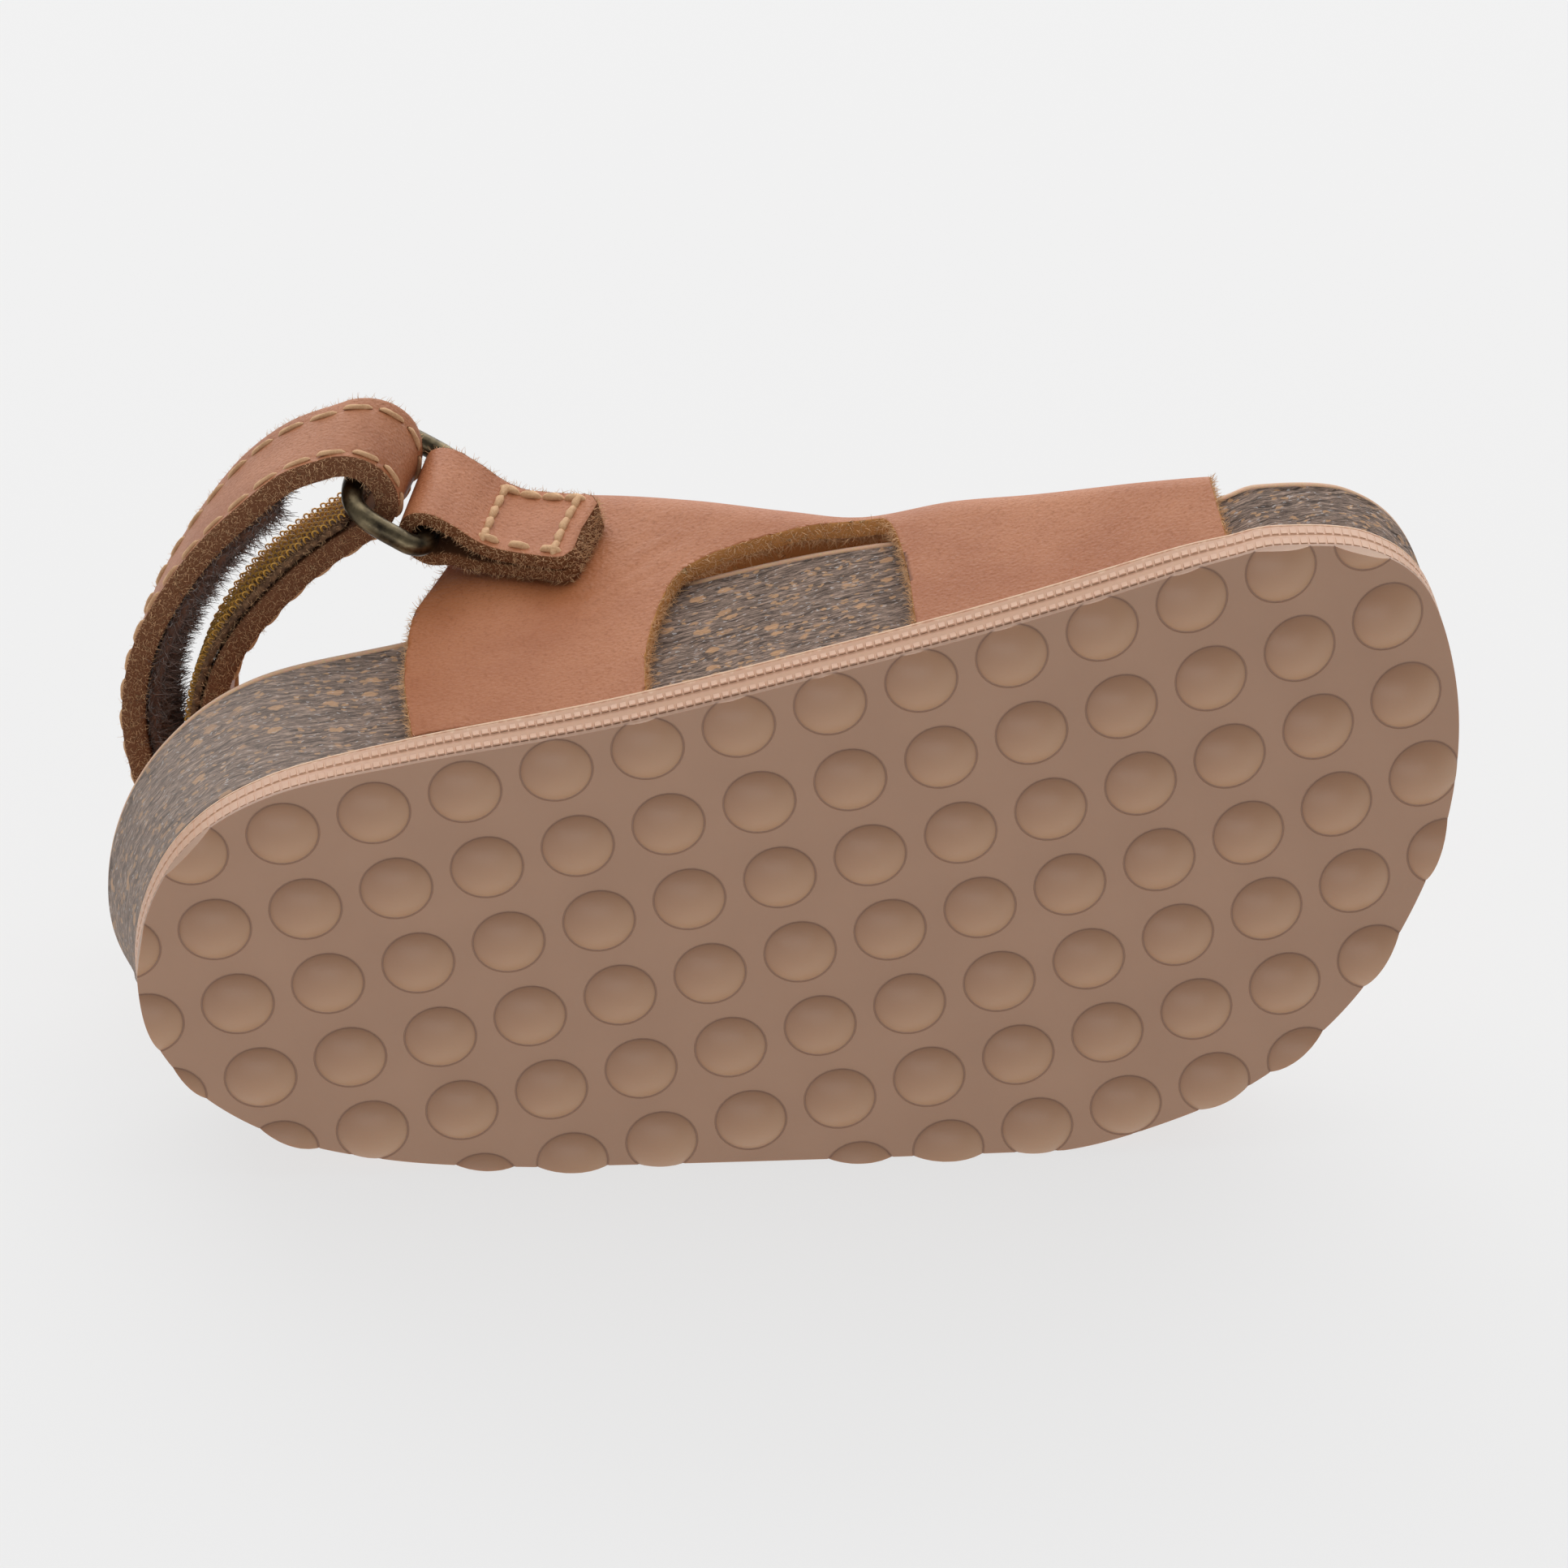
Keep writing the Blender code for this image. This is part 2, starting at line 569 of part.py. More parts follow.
def make_ring(material, pose, collection):
    """A closed wire D: a bow drawn as a squared ellipse, and a straight bar with round corners."""
    bar, bow = ring_axes()
    middle = Vector(RING_BAR_MIDDLE)
    path = []
    for point in range(RING_POINTS + 1):
        turn = math.pi * point / RING_POINTS
        across, deep = math.cos(turn), math.sin(turn)
        across = math.copysign(abs(across) ** (2.0 / RING_SQUARENESS), across)
        deep = max(deep, 0.0) ** (2.0 / RING_SQUARENESS)
        half_length = RING_UPPER_HALF_LENGTH if across > 0.0 else RING_HALF_LENGTH
        path.append((across * half_length, RING_CORNER + deep * (RING_DEPTH - RING_CORNER)))
    for end, half_length, turns in (
            (-1.0, RING_HALF_LENGTH, RING_CORNER_TURNS),
            (1.0, RING_UPPER_HALF_LENGTH, RING_CORNER_TURNS[::-1])):
        for turn in turns:
            angle = math.radians(turn)
            path.append((end * (half_length - RING_CORNER + RING_CORNER * math.cos(angle)),
                         RING_CORNER * (1.0 - math.sin(angle))))
    curve = bpy.data.curves.new("ring", "CURVE")
    curve.dimensions = "3D"
    curve.bevel_depth = WIRE_RADIUS
    curve.bevel_resolution = 2
    spline = curve.splines.new("POLY")
    spline.points.add(len(path) - 1)
    for target, (across, deep) in zip(spline.points, path):
        target.co = (*(middle + bar * across + bow * deep), 1.0)
    spline.use_cyclic_u = True
    wire = bpy.data.objects.new("ring", curve)
    bpy.context.scene.collection.objects.link(wire)
    bpy.context.view_layer.update()
    evaluated = wire.evaluated_get(bpy.context.evaluated_depsgraph_get())
    mesh = bpy.data.meshes.new_from_object(evaluated)
    shape = bmesh.new()
    shape.from_mesh(mesh)
    bpy.data.objects.remove(wire, do_unlink=True)
    finish_piece("ring", shape, material, pose, collection, 60.0)


def tab_half_width(along):
    """Half the tab's width at a distance from the ring's bar; the tail has rounded corners."""
    flare = min(max((TAB_FLARE_RUN - along) / TAB_FLARE_RUN, 0.0), 1.0)
    width = TAB_HALF_WIDTH_TAIL + (TAB_HALF_WIDTH_EYE - TAB_HALF_WIDTH_TAIL) * flare
    past = max(0.0, along - (TAB_LENGTH - TAB_CORNER)) / TAB_CORNER
    return width - TAB_CORNER * (1.0 - math.sqrt(max(0.0, 1.0 - past ** 2)))


def make_tab(material, pose, collection):
    """Two layers of leather with an eye at one end, drawn as a profile and run across the tab."""
    bar = ring_axes()[0]
    slope = Vector((math.cos(TAB_SLOPE), 0.0, math.sin(TAB_SLOPE)))
    middle = Vector(RING_BAR_MIDDLE)
    hole = WIRE_RADIUS + EYE_CLEARANCE
    outer = hole + TAB_LAYER
    bar_stand_off = wall_y(middle.x, False) - middle.y
    back = GAP
    front = GAP + 2.0 * TAB_LAYER
    # Profile of distance along the tab and distance out from the leather's wall.
    rim = []
    for turn in range(60, 301, 30):
        angle = math.radians(turn)
        rim.append((outer * math.cos(angle), bar_stand_off + outer * math.sin(angle)))
    tail = TAB_LENGTH - TAB_CORNER
    outline = [(tail, front)] + [(along, front + rise) for along, rise in TAB_FRONT]
    outline += rim
    outline += [(along, back + rise) for along, rise in TAB_BACK] + [(tail, back)]
    outline += [(tail + TAB_CORNER * past, back) for past in TAB_CORNER_SHARES]
    outline += [(tail + TAB_CORNER * past, front) for past in TAB_CORNER_SHARES[::-1]]
    eye = []
    for turn in range(0, 360, 40):
        angle = math.radians(turn)
        reach = hole + (EYE_THROAT if math.cos(angle) > 0.5 else 0.0)
        eye.append((reach * math.cos(angle), bar_stand_off + hole * math.sin(angle)))
    curve = bpy.data.curves.new("tab", "CURVE")
    curve.dimensions = "2D"
    curve.fill_mode = "BOTH"
    curve.extrude = 1.0
    for points in (outline, eye):
        spline = curve.splines.new("POLY")
        spline.points.add(len(points) - 1)
        for target, (along, out) in zip(spline.points, points):
            target.co = (along, out, 0.0, 1.0)
        spline.use_cyclic_u = True
    drawing = bpy.data.objects.new("tab", curve)
    bpy.context.scene.collection.objects.link(drawing)
    bpy.context.view_layer.update()
    evaluated = drawing.evaluated_get(bpy.context.evaluated_depsgraph_get())
    mesh = bpy.data.meshes.new_from_object(evaluated)
    shape = bmesh.new()
    shape.from_mesh(mesh)
    bpy.data.objects.remove(drawing, do_unlink=True)
    bmesh.ops.remove_doubles(shape, verts=shape.verts, dist=0.001)
    for vertex in shape.verts:
        along, out, side = vertex.co
        place = middle + slope * along + bar * (side * tab_half_width(along))
        wall = wall_y(max(place.x, middle.x), False)
        vertex.co = (place.x, wall - out, place.z)
    finish_piece("ring_tab", shape, material, pose, collection, 35.0)


def fold_point(turn):
    """x, y and lean of the strap where it goes round the ring's bow; turn is measured from the x axis."""
    lean = FOLD_LEAN * max(0.0, turn - FOLD_UPRIGHT) / (FOLD_START - FOLD_UPRIGHT)
    x = FOLD_CENTRE[0] + FOLD_RADIUS * math.cos(turn)
    y = FOLD_CENTRE[1] + FOLD_RADIUS * math.sin(turn)
    return x, y, lean


def strap_path():
    """The strap's middle in three parts: the arm to the ring, the fold in the ring, and the arm back."""
    turns = [FOLD_START - (FOLD_START + 0.5 * math.pi) * step / FOLD_STEPS for step in range(FOLD_STEPS + 1)]
    fold = [fold_point(turn) for turn in turns]
    inner = smooth_path(list(INNER_ARM) + fold[:1], ARM_STEPS)
    outer = smooth_path(fold[-1:] + list(OUTER_ARM), ARM_STEPS)
    return inner, fold[1:-1], outer


def ring_share(x, y):
    """How much of the ring's slant and squeeze the strap takes: all at the fold, none behind the heel."""
    share = min(max((x - SLANT_START) / SLANT_RUN, 0.0), 1.0) if y < SLANT_SIDE else 0.0
    return share * share * (3.0 - 2.0 * share)


def ribbon_rings(stations, face_near, face_far, width):
    """Sections of a flat band along a path from above, between two offsets from its middle."""
    rings = []
    for index, (x, y, lean) in enumerate(stations):
        before = stations[max(index - 1, 0)]
        after = stations[min(index + 1, len(stations) - 1)]
        along = Vector((after[0] - before[0], after[1] - before[1], 0.0)).normalized()
        out = Vector((along.y, -along.x, 0.0))
        tilt = math.tan(math.radians(lean))
        share = ring_share(x, y)
        ring = []
        for offset, levels in ((face_near, (-1.0, 0.0, 1.0)), (face_far, (1.0, 0.0, -1.0))):
            for level in levels:
                rise = 0.5 * width * level * (1.0 - STRAP_SQUEEZE * share)
                place = Vector((x, y, STRAP_MIDDLE_HEIGHT + rise)) + out * offset
                place -= out * (tilt * rise) * lean_side(x, y, index, stations)
                place.x += share * rise / math.tan(RING_SLANT)
                ring.append(tuple(place))
        rings.append(ring)
    return rings


def lean_side(x, y, index, stations):
    """1 where the band's outward side faces away from the foot, and -1 on the way back."""
    before = stations[max(index - 1, 0)]
    after = stations[min(index + 1, len(stations) - 1)]
    along = Vector((after[0] - before[0], after[1] - before[1]))
    outward = Vector((x - FOOT_CENTRE[0], y - FOOT_CENTRE[1]))
    return 1.0 if along.y * outward.x - along.x * outward.y > 0.0 else -1.0


def root_rings():
    """The strap's root: it lies against the inside of the outer quarter."""
    rings = []
    for x in ROOT_STATIONS:
        ring = []
        for offset, levels in ((STRAP_THICKNESS, (-1.0, 0.0, 1.0)), (0.0, (1.0, 0.0, -1.0))):
            for level in levels:
                height = STRAP_MIDDLE_HEIGHT + 0.5 * STRAP_WIDTH * level
                y = shell_y(x, height, True, LEATHER) - ROOT_GAP - offset
                ring.append((x, y, height))
        rings.append(ring)
    return rings


def make_strap(material, pose, collection):
    """The heel strap: one band of leather, rooted in the outer quarter and folded back through the ring."""
    inner, fold, outer = strap_path()
    half = STRAP_THICKNESS / 2.0
    rings = ribbon_rings(inner + fold + outer, -half, half, STRAP_WIDTH)
    shape = bmesh.new()
    add_rings(shape, root_rings() + rings)
    finish_piece("heel_strap", shape, material, pose, collection, 35.0)


def make_tapes(hook_material, loop_material, pose, collection):
    """The fastening: a hook tape on the arm behind the heel, and a pile tape on the arm that comes back."""
    inner, _, outer = strap_path()
    near = STRAP_THICKNESS / 2.0 + GAP
    hook = [row for row in inner if row[0] < HOOK_TAPE_X and row[1] < HOOK_TAPE_Y]
    pile = [row for row in outer if row[0] < PILE_TAPE_X]
    for name, stations, thickness, material in (
            ("hook_tape", hook, HOOK_TAPE_THICKNESS, hook_material),
            ("pile_tape", pile, PILE_TAPE_THICKNESS, loop_material)):
        shape = bmesh.new()
        add_rings(shape, ribbon_rings(stations, near, near + thickness, TAPE_WIDTH))
        finish_piece(name, shape, material, pose, collection, 35.0)


def lay_down(pose, collection):
    """Lays the shoe on its outer side: the straight run level on the ground, the tread facing front."""
    slope = math.atan2(STRAIGHT_END[1] - STRAIGHT_START[1], STRAIGHT_END[0] - STRAIGHT_START[0])
    on_side = Matrix(((1.0, 0.0, 0.0), (0.0, 0.0, 1.0), (0.0, -1.0, 0.0))).to_4x4()
    pose.matrix_world = Matrix.Rotation(-slope, 4, "Y") @ on_side
    bpy.context.view_layer.update()
    corners = [piece.matrix_world @ vertex.co for piece in collection.objects if piece.type == "MESH"
               for vertex in piece.data.vertices]
    low = [min(corner[axis] for corner in corners) for axis in range(3)]
    high = [max(corner[axis] for corner in corners) for axis in range(3)]
    shift = Vector((-(low[0] + high[0]) / 2.0, -(low[1] + high[1]) / 2.0, -low[2]))
    pose.matrix_world = Matrix.Translation(shift) @ pose.matrix_world
    bpy.context.view_layer.update()


def main():
    clear_scene()
    collection = bpy.data.collections.new("cork_footbed_sandal")
    bpy.context.scene.collection.children.link(collection)
    pose = bpy.data.objects.new("lying_pose", None)
    collection.objects.link(pose)
    rubber = make_material("crepe_rubber", (0.34, 0.19, 0.12), 0.55)
    cork = make_material("cork", (0.13, 0.09, 0.07), 0.85)
    suede = make_material("suede_lining", (0.52, 0.36, 0.24), 0.9)
    tan = make_material("tan_leather", (0.42, 0.17, 0.08), 0.5)
    tan_tab = make_material("tab_leather", (0.42, 0.17, 0.08), 0.5)
    tan_strap = make_material("strap_leather", (0.42, 0.17, 0.08), 0.5)
    brass = make_material("antique_brass", (0.12, 0.09, 0.06), 0.35, 1.0)
    hooks = make_material("hook_tape", (0.30, 0.18, 0.06), 0.6)
    pile = make_material("pile_tape", (0.06, 0.03, 0.02), 0.95)
    make_outsole(rubber, pose, collection)
    make_footbed(cork, pose, collection)
    make_lining(suede, pose, collection)
    make_upper(tan, pose, collection)
    make_tab(tan_tab, pose, collection)
    make_ring(brass, pose, collection)
    make_strap(tan_strap, pose, collection)
    make_tapes(hooks, pile, pose, collection)
    lay_down(pose, collection)


main()
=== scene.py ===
"""Looks of a small child's cork footbed sandal, a left shoe that lies on its outer side.

Each piece is drawn in the shoe's own frame, in millimetres: x from heel to toe, y from the inner side of the
foot to the outer, z up from the tread. lay() bends it to the worn sole and lays it down as the frame lies.
"""
import math

import bmesh
import bpy
import numpy as np
from mathutils import Matrix, Vector, noise


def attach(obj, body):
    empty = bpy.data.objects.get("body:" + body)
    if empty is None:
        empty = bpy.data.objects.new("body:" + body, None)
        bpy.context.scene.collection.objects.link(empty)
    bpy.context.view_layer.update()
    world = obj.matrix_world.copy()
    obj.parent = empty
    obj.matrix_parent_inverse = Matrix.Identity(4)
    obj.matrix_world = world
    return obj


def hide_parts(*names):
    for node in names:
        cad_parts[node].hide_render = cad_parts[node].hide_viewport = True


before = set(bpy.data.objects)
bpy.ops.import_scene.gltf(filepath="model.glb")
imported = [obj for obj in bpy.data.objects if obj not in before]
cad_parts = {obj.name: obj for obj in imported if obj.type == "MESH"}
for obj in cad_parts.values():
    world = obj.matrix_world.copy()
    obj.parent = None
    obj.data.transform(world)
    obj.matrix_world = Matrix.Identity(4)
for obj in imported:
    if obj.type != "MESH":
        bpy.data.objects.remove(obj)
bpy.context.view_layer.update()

# Studio. A seamless pale floor under a wide soft light from above and behind, as for a catalogue picture,
# and a long lens that looks down on the tread.
bpy.context.scene.view_settings.view_transform = "Standard"
CAMERA_PLACE = Vector((-0.12395, -0.97246, 0.65382))
CAMERA_AIM = Vector((0.00226, 0.0, 0.02961))
CAMERA_ROLL = math.radians(1.91)
LENS = 242.2
FLOOR_HALF = 6.0
FLOOR_GLOW = 0.69


def linear_colour(code):
    """An sRGB hex colour as linear light, with full alpha."""
    parts = [int(code[place:place + 2], 16) / 255.0 for place in (1, 3, 5)]
    return tuple(p / 12.92 if p <= 0.04045 else ((p + 0.055) / 1.055) ** 2.4 for p in parts) + (1.0,)


def add_node(tree, kind, settings, inputs):
    """Adds a node; settings are its own, and inputs are numbers, colours or sockets by name or place."""
    added = tree.nodes.new(kind)
    for name, value in settings.items():
        setattr(added, name, value)
    for name, value in inputs.items():
        if isinstance(value, bpy.types.NodeSocket):
            tree.links.new(value, added.inputs[name])
        else:
            added.inputs[name].default_value = value
    return added


def new_material(name, colour, roughness):
    """A material with one colour and roughness; its tree and shader take the rest."""
    made = bpy.data.materials.new(name)
    made.use_nodes = True
    shader = made.node_tree.nodes["Principled BSDF"]
    shader.inputs["Base Color"].default_value = linear_colour(colour)
    shader.inputs["Roughness"].default_value = roughness
    return made, made.node_tree, shader


eye = bpy.data.cameras.new("camera")
eye.lens = LENS
eye.sensor_width = 36.0
eye.clip_end = 50.0
camera = bpy.data.objects.new("camera", eye)
bpy.context.scene.collection.objects.link(camera)
camera.location = CAMERA_PLACE
aim = (CAMERA_AIM - CAMERA_PLACE).to_track_quat("-Z", "Y").to_matrix()
camera.rotation_euler = (aim @ Matrix.Rotation(CAMERA_ROLL, 3, "Z")).to_euler()
bpy.context.scene.camera = camera

floor_mesh = bpy.data.meshes.new("floor")
corners = [(x * FLOOR_HALF, y * FLOOR_HALF, 0.0) for x, y in ((-1, -1), (1, -1), (1, 1), (-1, 1))]
floor_mesh.from_pydata(corners, [], [(0, 1, 2, 3)])
floor = bpy.data.objects.new("floor", floor_mesh)
bpy.context.scene.collection.objects.link(floor)
# A white acrylic sheet lit from below: pale, with only soft shadows on it.
lit_acrylic, tree, shader = new_material("lit_white_acrylic", "#6E6E6E", 0.9)
shader.inputs["Specular IOR Level"].default_value = 0.1
shader.inputs["Emission Color"].default_value = (1.0, 1.0, 1.0, 1.0)
shader.inputs["Emission Strength"].default_value = FLOOR_GLOW
floor_mesh.materials.append(lit_acrylic)

studio = bpy.data.worlds.new("studio")
bpy.context.scene.world = studio
studio.use_nodes = True
studio.node_tree.nodes["Background"].inputs["Color"].default_value = (1.0, 1.0, 1.0, 1.0)
studio.node_tree.nodes["Background"].inputs["Strength"].default_value = 0.32
# Columns: name, place in metres, width, height, power in watts.
SOFT_BOXES = (
    ("sky_panel", (0.1, 0.8, 1.9), 3.0, 2.4, 34.0),
    ("back_panel", (0.1, 1.9, 0.9), 4.0, 1.8, 44.0),
    ("low_panel", (-0.2, -1.3, 0.2), 1.8, 0.4, 4.2),
)
for name, place, width, height, power in SOFT_BOXES:
    panel = bpy.data.lights.new(name, "AREA")
    panel.shape = "RECTANGLE"
    panel.size, panel.size_y, panel.energy = width, height, power
    lamp = bpy.data.objects.new(name, panel)
    bpy.context.scene.collection.objects.link(lamp)
    lamp.location = place
    lamp.rotation_euler = (CAMERA_AIM - Vector(place)).to_track_quat("-Z", "Y").to_euler()

# Outsole. One sheet of moulded natural rubber, with round studs on its tread and two rows of small ribs
# round its side. It is cut to the sole's outline, through the studs, and glued under the cork.
LYING_SLOPE = math.atan2(45.1 - 30.7, 92.4 - 35.9)
LYING_SHIFT = Vector((-0.070066, -0.030210, 0.020883))
SHOE_TO_ROOM = (Matrix.Translation(LYING_SHIFT) @ Matrix.Rotation(-LYING_SLOPE, 4, "Y")
                @ Matrix(((1.0, 0.0, 0.0), (0.0, 0.0, 1.0), (0.0, -1.0, 0.0))).to_4x4())
TO_METRES = 0.001
BALL_X = 90.0
TOE_LIFT = 4.9
TOE_LIFT_RUN = 50.0
TOE_SKEW = 0.31
HEEL_LIFT = 2.4
# Round the sole from the outer ball by the toe, the inner side and the heel; a straight run closes it.
# Columns: x, y, how far the cork's foot stands in from the line, the same at its rim, rim height,
# how far the outsole's upper edge stands out from the line, the same at its tread.
OUTLINE = (
    (92.4, 45.1, 2.4, 2.4, 17.0, 0.0, 0.0),
    (103.0, 44.9, 2.4, 2.4, 15.0, 0.0, 0.0),
    (114.2, 42.7, 2.4, 2.4, 13.0, 0.0, 0.0),
    (125.2, 37.2, 1.2, 1.0, 11.5, 0.0, 0.0),
    (134.2, 28.8, 0.8, 0.6, 11.0, 0.0, 0.0),
    (141.7, 17.4, 0.8, 0.6, 10.6, 0.0, 0.0),
    (145.6, 4.0, 0.8, 0.6, 11.0, 0.0, 0.0),
    (145.2, -9.5, 0.8, 0.6, 11.8, 0.0, 0.0),
    (140.0, -17.0, 0.8, 0.6, 13.4, 0.2, 0.0),
    (131.0, -21.0, 1.8, 1.7, 15.6, 0.6, 0.2),
    (125.5, -21.6, 2.4, 2.4, 16.2, 0.9, 0.4),
    (119.0, -21.7, 2.4, 2.4, 18.0, 1.5, 0.6),
    (106.0, -21.7, 2.4, 2.4, 22.0, 1.7, 0.6),
    (84.0, -23.0, 2.4, 2.4, 26.0, 0.5, -0.6),
    (58.0, -22.7, 2.4, 2.4, 27.4, 0.8, -0.4),
    (36.0, -24.3, 2.4, 2.4, 26.2, 0.2, -0.6),
    (20.0, -23.9, 0.6, -0.4, 22.0, 0.0, -0.2),
    (9.5, -19.4, 0.3, -1.5, 19.0, 0.0, 0.0),
    (2.6, -10.5, 0.2, -2.0, 17.8, 0.0, 0.0),
    (0.0, 0.0, 0.2, -2.1, 16.6, 0.0, 0.0),
    (2.6, 10.3, 0.2, -1.4, 16.8, 0.0, 0.0),
    (10.2, 19.3, 0.6, -0.4, 17.6, 0.0, 0.0),
    (21.4, 25.7, 1.8, 1.2, 19.0, 0.0, 0.0),
    (35.9, 30.7, 2.4, 2.4, 20.0, 0.0, 0.0),
)
SPAN_STEPS = 14
STRAIGHT_PARTS = 58
STRAIGHT_LEAD = 12.0
# The middle line, from heel to toe, that the plate and the footbed close on.
SPINE_START, SPINE_END, SPINE_STEP = 26.0, 118.0, 4.0
PLATE_THICKNESS = 4.0
STUD_PITCH = 10.0
STUD_RADIUS = 3.8
STUD_HEIGHT = 1.4
STUD_START = (0.2, -18.8)
STUD_SIDES = 32
# Cells past the outline are cut away with the rest, so the grid is one cell larger all round.
CELL_COLUMNS, CELL_ROWS = 17, 9
# Rings of a stud, as shares of its steepest angle, and the fine groove round it as radius and depth.
DOME_SHARES = (1.0, 0.9, 0.72, 0.5, 0.26)
GROOVE = ((4.02, 0.0), (3.95, 0.06), (3.84, 0.06))
# Side of the plate. Columns: height, how far it stands in.
SIDE_GROOVE = 0.06
SIDE_PROFILE = ((-5.0, 0.0), (0.0, 0.0), (0.4, 0.0), (0.48, SIDE_GROOVE), (2.0, SIDE_GROOVE), (2.05, 0.1),
                (2.2, 0.1), (2.25, SIDE_GROOVE), (3.7, SIDE_GROOVE), (3.76, 0.0), (3.92, 0.0), (4.0, 0.06))
RIB_PITCH = 1.0
RIB_HALF_LENGTH = 0.42
RIB_ROOT, RIB_RISE = -0.1, 0.05
# Share of a rib's length and height that is left at its top, inside its sloped sides.
RIB_TOP = (0.8, 0.94)
# Columns: height of the row's middle, height of a rib.
RIB_ROWS = ((1.22, 1.42), (2.98, 1.38))


def smooth_path(rows, steps, first=None, last=None):
    """Rows read along a smooth curve through them, with any number of columns."""
    rows = np.array(rows, float)
    first = 2.0 * rows[0] - rows[1] if first is None else np.array(first, float)
    last = 2.0 * rows[-1] - rows[-2] if last is None else np.array(last, float)
    padded = np.vstack([first, rows, last])
    path = []
    for a, b, c, d in zip(padded, padded[1:], padded[2:], padded[3:]):
        for step in range(steps):
            t = step / steps
            path.append(0.5 * (2.0 * b + (c - a) * t + (2.0 * a - 5.0 * b + 4.0 * c - d) * t ** 2
                               + (3.0 * b - a - 3.0 * c + d) * t ** 3))
    return np.array(path + [rows[-1]])


def sole_edge():
    """The sole's outline all the way round, about 1 mm apart, with its columns."""
    start, end = np.array(OUTLINE[-1], float), np.array(OUTLINE[0], float)
    lead = (end - start)[:2] / np.hypot(*(end - start)[:2]) * STRAIGHT_LEAD
    first, last = end.copy(), start.copy()
    first[:2] -= lead
    last[:2] += lead
    curved = smooth_path(OUTLINE, SPAN_STEPS, first, last)
    shares = np.arange(1, STRAIGHT_PARTS)[:, None] / STRAIGHT_PARTS
    return np.vstack([curved, start + shares * (end - start)])


EDGE = sole_edge()
along = np.roll(EDGE, -1, 0)[:, :2] - np.roll(EDGE, 1, 0)[:, :2]
along /= np.linalg.norm(along, axis=1)[:, None]
INWARD = np.column_stack([along[:, 1], -along[:, 0]])
toe, heel = int(EDGE[:, 0].argmax()), int(EDGE[:, 0].argmin())
INNER_SIDE = EDGE[toe:heel + 1][::-1]
OUTER_SIDE = np.vstack([EDGE[heel:], EDGE[:toe + 1]])


def edge_ring(inset, height):
    """Points round the outline, moved in from it, at one height or one height each."""
    ring = EDGE[:, :2] + INWARD * np.reshape(inset, (-1, 1))
    return np.column_stack([ring, np.broadcast_to(height, len(EDGE))])


def side_y(x, outer):
    """y of the outline at x, on the outer or the inner side."""
    side = OUTER_SIDE if outer else INNER_SIDE
    return float(np.interp(x, side[:, 0], side[:, 1]))


def lay(name, shape, *finishes):
    """Makes a flat-drawn shape a piece of the worn shoe where it lies. It keeps its flat place as shoe_mm."""
    mesh = bpy.data.meshes.new(name)
    shape.to_mesh(mesh)
    shape.free()
    count = len(mesh.vertices)
    flat = np.empty(count * 3, np.float32)
    mesh.vertices.foreach_get("co", flat)
    mesh.attributes.new("shoe_mm", "FLOAT_VECTOR", "POINT").data.foreach_set("vector", flat)
    place = flat.reshape(-1, 3).astype(float)
    past_ball = np.maximum(place[:, 0] - TOE_SKEW * place[:, 1] - BALL_X, 0.0) / TOE_LIFT_RUN
    before_ball = np.maximum(BALL_X - place[:, 0], 0.0) / BALL_X
    place[:, 2] += TOE_LIFT * past_ball ** 2 + HEEL_LIFT * before_ball ** 2
    room = np.array(SHOE_TO_ROOM)
    place = place * TO_METRES @ room[:3, :3].T + room[:3, 3]
    mesh.vertices.foreach_set("co", place.astype(np.float32).ravel())
    for finish in finishes:
        mesh.materials.append(finish)
    piece = bpy.data.objects.new(name, mesh)
    bpy.context.scene.collection.objects.link(piece)
    mesh.update()
    return piece


def skin(shape, rings, closed=True, material=0):
    """Skins a row of equal rings with four-sided faces, and gives back their vertices."""
    loops = [[shape.verts.new(point) for point in ring] for ring in rings]
    for low, high in zip(loops, loops[1:]):
        for index in range(len(low) if closed else len(low) - 1):
            after = (index + 1) % len(low)
            face = shape.faces.new((low[index], low[after], high[after], high[index]))
            face.material_index = material
            face.smooth = True
    return loops


def drawing(name, shape):
    """A bmesh as an object of the scene, for a modifier to read."""
    mesh = bpy.data.meshes.new(name)
    shape.to_mesh(mesh)
    shape.free()
    made = bpy.data.objects.new(name, mesh)
    bpy.context.scene.collection.objects.link(made)
    return made


def taken_from(*drawings):
    """The first drawing with its modifiers, as a bmesh; the drawings are removed."""
    bpy.context.view_layer.update()
    mesh = bpy.data.meshes.new_from_object(drawings[0].evaluated_get(bpy.context.evaluated_depsgraph_get()))
    result = bmesh.new()
    result.from_mesh(mesh)
    for used in drawings:
        bpy.data.objects.remove(used, do_unlink=True)
    return result


def node_tree(name, inputs):
    """An empty Geometry Nodes tree with a shape in and out, and the named inputs (name, kind)."""
    tree = bpy.data.node_groups.new(name, "GeometryNodeTree")
    tree.interface.new_socket("Geometry", in_out="INPUT", socket_type="NodeSocketGeometry")
    tree.interface.new_socket("Geometry", in_out="OUTPUT", socket_type="NodeSocketGeometry")
    for label, kind in inputs:
        tree.interface.new_socket(label, in_out="INPUT", socket_type="NodeSocket" + kind)
    return tree, tree.nodes.new("NodeGroupInput").outputs, tree.nodes.new("NodeGroupOutput").inputs


def run_tree(tree, made, values):
    """Puts a tree on a drawing and sets its inputs by their sockets' identifiers."""
    modifier = made.modifiers.new(tree.name, "NODES")
    modifier.node_group = tree
    sockets = {item.name: item.identifier for item in tree.interface.items_tree if item.in_out == "INPUT"}
    for label, value in values.items():
        modifier[sockets[label]] = value


